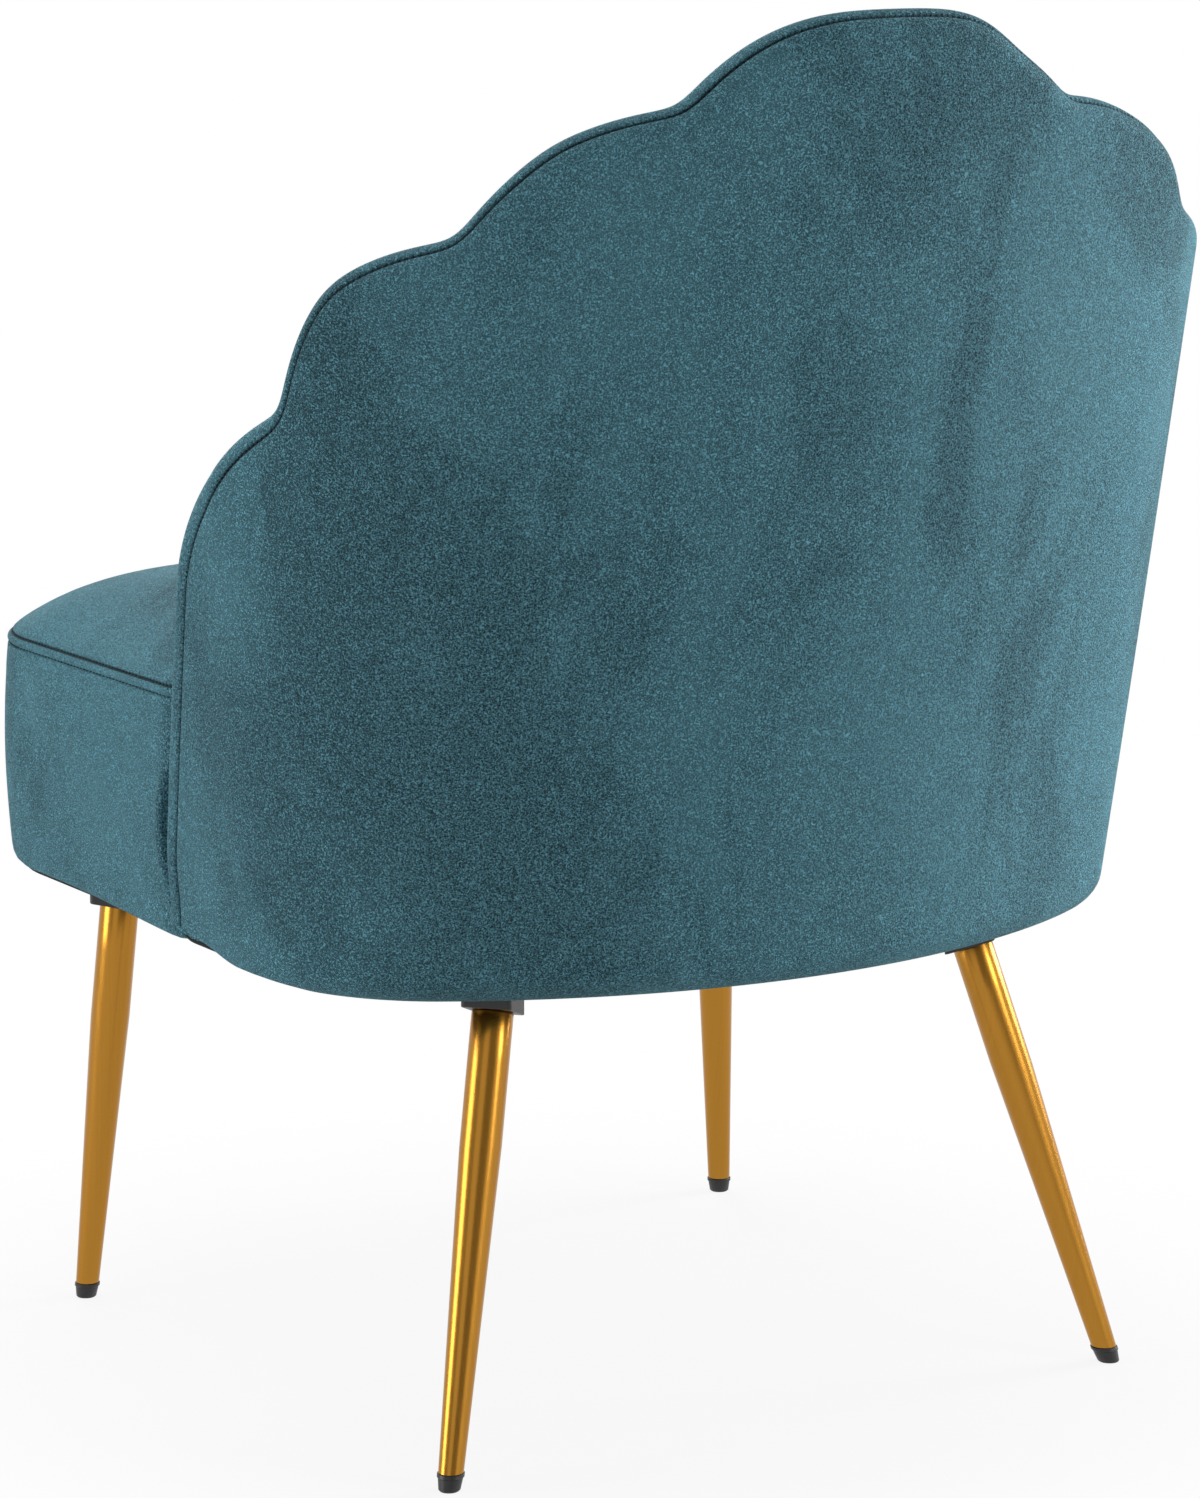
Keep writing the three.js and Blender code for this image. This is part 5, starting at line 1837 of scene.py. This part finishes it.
    def underside(self) -> Object:
        """The black lining stapled under the seat frame."""
        low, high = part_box("dust_cover")
        outline = self.outline(self.lining_inset, self.lining_line, self.column_count // 2)
        centre = outline.mean(axis=0)
        upper = []
        for share in np.linspace(*self.lining_rings):
            x, y = mix(centre, outline, share).T
            sag = 0.0 if share > self.lining_held else self.lining_sag * (1 - share)
            upper.append(joined(x, y + self.wall.origin_y, np.full(len(x), high.z - sag)))
        lower = [ring - np.array([0, 0, self.lining_thickness]) for ring in upper]
        piece = ring_body("underside_lining", upper[::-1] + lower)
        piece = dressed(piece, self.lining, "dust_cover")
        return piece


# Legs


@dataclass
class Leg:
    """One splayed leg: tapered gold tube, black foot cap and black wedge block."""

    corner: Corner
    wall: Wall
    gold: Material
    plastic: Material
    foot_rear: Pair = (0.2389, 0.2207)
    foot_front: Pair = (0.2466, -0.2428)
    top_rear: Pair = (0.1730, 0.1600)
    top_front: Pair = (0.2274, -0.2229)
    top_height: float = 0.2647
    straight: float = 0.075
    top_radius: float = 0.0125
    foot_radius: float = 0.0075
    tube_wall: float = 0.0015
    collar: float = 0.03
    top_plate: float = 0.004
    lip: float = 0.0008
    lip_share: float = 0.3
    stud_hole: float = 0.0044
    taper_rings: int = 9
    sides: int = 64
    cap_height: float = 0.010
    cap_lip: float = 0.0006
    cap_flange: float = 0.0024
    cap_edge: float = 0.0003
    flange_step: float = 0.0002
    sole: tuple = ((0.0, 0.0018), (0.0008, 0.0010))
    plug_length: float = 0.014
    block_side: float = 0.031
    block_corner: float = 0.003
    corner_points: int = 7
    block_bevel: float = 0.0006
    gap: float = 0.0003

    def __post_init__(self) -> None:
        """Works out the leg's leaning axis."""
        foot = self.foot_rear if self.corner.is_rear else self.foot_front
        top = self.top_rear if self.corner.is_rear else self.top_front
        sign, origin_y = self.corner.sign, self.wall.origin_y
        self.foot = np.array([sign * foot[0], foot[1] + origin_y, 0.0])
        self.top = np.array([sign * top[0], top[1] + origin_y, self.top_height])
        self.axis = (self.top - self.foot) / np.linalg.norm(self.top - self.foot)
        level = self.axis * np.array([1, 1, 0])
        self.across = level / np.linalg.norm(level)
        self.other = np.array([-self.across[1], self.across[0], 0.0])

    def _ring(self, centre: Array, lean: Array, radius: float) -> Array:
        """A ring of the tube.

        Args:
            centre: Its centre.
            lean: The direction in which the tube leans, in the ring's plane.
            radius: Its radius.

        Returns:
            The points.
        """
        turn = np.linspace(0, 2 * math.pi, self.sides, endpoint=False)[:, None]
        return centre + lean * (radius * np.cos(turn)) + self.other * (radius * np.sin(turn))

    def _level_ring(self, height: float, radius: float) -> Array:
        """A level ring of the leaning tube."""
        centre = mix(self.foot, self.top, height / self.top_height)
        return self._ring(centre, self.across / self.axis[2], radius)

    def _square_ring(self, below: float, radius: float) -> Array:
        """A ring square to the axis, a distance below the tube's top."""
        return self._ring(self.top - self.axis * below, np.cross(self.other, self.axis), radius)

    def _taper(self, wall: float) -> list[Pair]:
        """Heights and radii from the foot to the end of the taper, a wall's thickness in."""
        shares = np.linspace(0, 1, self.taper_rings)
        heights = mix(self.cap_height + self.gap, self.top_height - self.straight, shares)
        return list(zip(heights, mix(self.foot_radius, self.top_radius, shares) - wall))

    def tube(self) -> Object:
        """The tapered tube with a small rounded top edge."""
        radius, lip = self.top_radius, self.lip
        top = (
            (self.collar, radius),
            (lip, radius),
            (lip * self.lip_share, radius - lip * self.lip_share),
            (0.0, radius - lip),
            (0.0, self.stud_hole),
            (self.top_plate, self.stud_hole),
            (self.top_plate, radius - self.tube_wall),
        )
        rings = [self._level_ring(*place) for place in self._taper(0.0)]
        rings += [self._square_ring(*place) for place in top]
        rings += [self._level_ring(*place) for place in self._taper(self.tube_wall)[::-1]]
        piece = ring_body(f"leg_{self.corner.value}", rings, loop=True)
        sharpen(piece)
        return dressed(piece, self.gold, f"leg_tube_{self.corner.value}")

    def cap(self) -> Object:
        """The flanged black cap in the tube's foot."""
        radius, edge, height = self.foot_radius, self.cap_edge, self.cap_height
        flange, wide = height - self.cap_flange, radius + self.cap_lip
        plug = radius - self.tube_wall - self.gap
        section = [(place, radius - inset) for place, inset in self.sole]
        section += [
            (flange - self.flange_step, radius),
            (flange, wide - edge),
            (flange + edge, wide),
            (height - edge, wide),
            (height, wide - edge),
            (height, plug),
            (height + self.plug_length, plug),
        ]
        rings = [self._level_ring(*place) for place in section]
        piece = ring_body(f"foot_{self.corner.value}", rings)
        sharpen(piece)
        return dressed(piece, self.plastic, f"foot_cap_{self.corner.value}")

    def block(self) -> Object:
        """The black wedge between the leaning tube and the level seat."""
        node = f"leg_block_{self.corner.value}"
        half = self.block_side / 2 - self.block_corner
        centres = np.array([[half, half], [-half, half], [-half, -half], [half, -half]])
        turns = (np.arange(4)[:, None] + np.linspace(0, 1, self.corner_points)) * QUARTER_TURN
        rounds = self.block_corner * joined(np.cos(turns), np.sin(turns))
        flat = (centres[:, None] + rounds).reshape(-1, 2)
        up = np.array([0.0, 0.0, 1.0])
        place = self.top - self.top_height * up + flat @ np.stack([self.across, self.other])
        level = place + self.top_height * up
        off = (level - self.top) @ self.axis - self.gap
        lower = level - off[:, None] * up / self.axis[2]
        piece = ring_body(f"block_{self.corner.value}", [lower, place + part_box(node)[1].z * up])
        shade_smooth(piece, False)
        softened = piece.modifiers.new("edges", "BEVEL")
        softened.width = self.block_bevel
        softened.segments = 2
        softened.limit_method = "ANGLE"
        return dressed(piece, self.plastic, node)


# Studio


class Lamp(NamedTuple):
    """A square soft lamp, by its place, its side and its power in watts."""

    name: str
    place: Place
    size: float
    power: float


class Card(NamedTuple):
    """A tall card that only shows as a darker band in the polished legs.

    Attributes:
        name: Its name.
        azimuth: Its direction from the chair, in degrees as the camera's.
        distance: Its distance from the chair.
        width: Its width.
        darkness: Share of the white surroundings that it takes away.
    """

    name: str
    azimuth: float
    distance: float
    width: float
    darkness: float


@dataclass
class Studio:
    """Pale floor, white surroundings, soft lamps and the photograph's camera."""

    origin_y: float
    azimuth: float = 148.456
    elevation: float = 9.991
    distance: float = 3.2654
    target_height: float = 0.42
    focal_pixels: float = 5212.964
    centre_x: float = 600.9954
    centre_y: float = 685.1469
    sensor: float = 36.0
    clip_start: float = 0.1
    lamp_target: float = 0.45
    lamps: tuple[Lamp, ...] = (
        Lamp("key_right", (-2.9, 0.3, 1.0), 1.2, 62.0),
        Lamp("side_left", (2.7, -0.7, 0.5), 1.2, 29.0),
        Lamp("behind", (-1.7, 2.7, 1.1), 0.9, 24.0),
        Lamp("top", (0.1, -1.0, 2.8), 1.5, 20.0),
        Lamp("front", (-0.6, -2.8, 1.5), 1.6, 20.0),
    )
    world_light: float = 0.24
    floor_size: float = 12.0
    floor_lit: float = 0.55
    floor_seen: float = 0.93
    floor_fade: tuple = (0.30, 0.62, 0.88, 1.0)
    card_shade: Colour = (0.02, 0.018, 0.016)
    card_heights: Pair = (0.02, 4.0)
    cards: tuple[Card, ...] = (
        Card("card_dark", azimuth=168.0, distance=4.4, width=3.4, darkness=0.65),
        Card("card_left", azimuth=95.0, distance=4.0, width=3.2, darkness=0.50),
    )

    @staticmethod
    def _aimed(name: str, data: bpy.types.ID, place: Sequence[float], aim: Vector) -> Object:
        """A camera or lamp in its place.

        Args:
            name: Its name.
            data: The camera's or lamp's own data.
            place: Where it stands.
            aim: The direction in which it looks.

        Returns:
            The new object.
        """
        piece = linked(name, data)
        piece.location = place
        piece.rotation_euler = aim.to_track_quat("-Z", "Y").to_euler()
        return piece

    def camera(self) -> None:
        """The camera, in the photograph's place and framing."""
        data = bpy.data.cameras.new("camera")
        data.sensor_width = self.sensor
        data.lens = self.focal_pixels * self.sensor / PHOTO_HEIGHT
        data.shift_x = (PHOTO_WIDTH / 2 - self.centre_x) / PHOTO_HEIGHT
        data.shift_y = (self.centre_y - PHOTO_HEIGHT / 2) / PHOTO_HEIGHT
        data.clip_start = self.clip_start
        turn, lift = math.radians(self.azimuth), math.radians(self.elevation)
        level = math.cos(lift)
        back = Vector((math.sin(turn) * level, -math.cos(turn) * level, math.sin(lift)))
        place = Vector((0, self.origin_y, self.target_height)) + back * self.distance
        bpy.context.scene.camera = self._aimed("camera", data, place, -back)

    def lamp(self, lamp: Lamp) -> None:
        """A square soft lamp aimed at the chair."""
        data = bpy.data.lights.new(lamp.name, "AREA")
        data.shape = "SQUARE"
        data.size = lamp.size
        data.energy = lamp.power
        aim = Vector((0, self.origin_y, self.lamp_target)) - Vector(lamp.place)
        self._aimed(lamp.name, data, lamp.place, aim)

    def world(self) -> None:
        """White behind the chair and in the metal, softer as a light."""
        world = bpy.data.worlds.new("studio")
        graph = Graph.blank(world)
        path = graph.add("ShaderNodeLightPath").outputs
        seen = graph.math("MAXIMUM", path["Is Camera Ray"], path["Is Transmission Ray"])
        shown = graph.math("MAXIMUM", seen, path["Is Glossy Ray"])
        strength = graph.ramp(shown, 0.0, 1.0, self.world_light, 1.0)
        light = graph.add("ShaderNodeBackground", Color=(1, 1, 1, 1), Strength=strength)
        graph.finish(light.outputs[0], "ShaderNodeOutputWorld")
        bpy.context.scene.world = world

    @staticmethod
    def _panel(name: str, corners: Sequence[Array]) -> tuple[Object, Graph]:
        """A flat panel with four corners, and the emptied tree of its own material."""
        panel = new_object(name, corners, [[0, 1, 2, 3]])
        material = bpy.data.materials.new(name)
        panel.data.materials.append(material)
        return panel, Graph.blank(material)

    def floor(self) -> None:
        """A wide pale floor that keeps the shadow near the chair and fades to white beyond it."""
        size = self.floor_size
        corners = [[-size, -size, 0], [size, -size, 0], [size, size, 0], [-size, size, 0]]
        floor, graph = self._panel("floor", corners)
        path = graph.add("ShaderNodeLightPath").outputs
        seen = graph.math("MAXIMUM", path["Is Camera Ray"], path["Is Glossy Ray"])
        lit, shown = (opaque((grey, grey, grey)) for grey in (self.floor_lit, self.floor_seen))
        matt = graph.add("ShaderNodeBsdfDiffuse", Color=graph.blend(seen, lit, shown))
        white = graph.add("ShaderNodeEmission", Color=(1, 1, 1, 1), Strength=1.0)
        place = graph.add("ShaderNodeTexCoord").outputs["Object"]
        away = graph.add("ShaderNodeVectorMath", {"operation": "LENGTH"}, Vector=place)
        far = graph.ramp(away.outputs["Value"], *self.floor_fade)
        share = graph.math("MULTIPLY", far, seen)
        graph.finish(graph.mixed(share, matt.outputs[0], white.outputs[0]))

    def card(self, card: Card) -> None:
        """A tall card beside the chair."""
        turn = math.radians(card.azimuth)
        out = np.array([math.sin(turn), -math.cos(turn), 0.0])
        across = np.array([math.cos(turn), math.sin(turn), 0.0]) * card.width / 2
        centre = out * card.distance + np.array([0, self.origin_y, 0])
        low, high = (np.array([0, 0, height]) for height in self.card_heights)
        right, left = centre - across, centre + across
        piece, graph = self._panel(card.name, [right + low, left + low, left + high, right + high])
        clear = graph.add("ShaderNodeBsdfTransparent")
        dark = graph.add("ShaderNodeBsdfDiffuse", Color=opaque(self.card_shade))
        glossy = graph.add("ShaderNodeLightPath").outputs["Is Glossy Ray"]
        share = graph.math("MULTIPLY", glossy, card.darkness)
        graph.finish(graph.mixed(share, clear.outputs[0], dark.outputs[0]))

    def build(self) -> None:
        """Sets up the camera, the lamps, the world, the floor and the cards."""
        self.camera()
        for lamp in self.lamps:
            self.lamp(lamp)
        self.world()
        self.floor()
        for card in self.cards:
            self.card(card)
        bpy.context.scene.view_settings.view_transform = "Standard"


def frame_origin_y() -> float:
    """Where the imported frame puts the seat's own origin, read from an upright stud."""
    low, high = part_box("leg_stud_rear_left")
    return (low.y + high.y) / 2 - Leg.top_rear[1]


def main() -> None:
    """Builds the chair's pieces in order and reports each."""
    logging.basicConfig(level=logging.INFO, format="%(message)s")
    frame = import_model()
    origin_y = frame_origin_y()
    Studio(origin_y).build()
    looks = Finishes()
    looks.on_nodes(frame["nodes"])
    wall = Wall(origin_y)
    back = Back(Edge(wall), looks.velvet, looks.thread, looks.foam)
    seat = Seat(wall, looks.velvet, looks.thread, looks.foam, looks.felt, looks.lining)
    makers = [back.outer_cover, back.inner_cover, back.padding, back.stitches]
    makers += [seat.cover, seat.stitches, seat.padding, seat.deck, seat.underside]
    for corner in Corner:
        leg = Leg(corner, wall, looks.gold, looks.plastic)
        makers += [leg.tube, leg.cap, leg.block]
    for make in makers:
        piece = make()
        log.info("%s: %d faces", piece.name, len(piece.data.polygons))


if __name__ == "__main__":
    main()
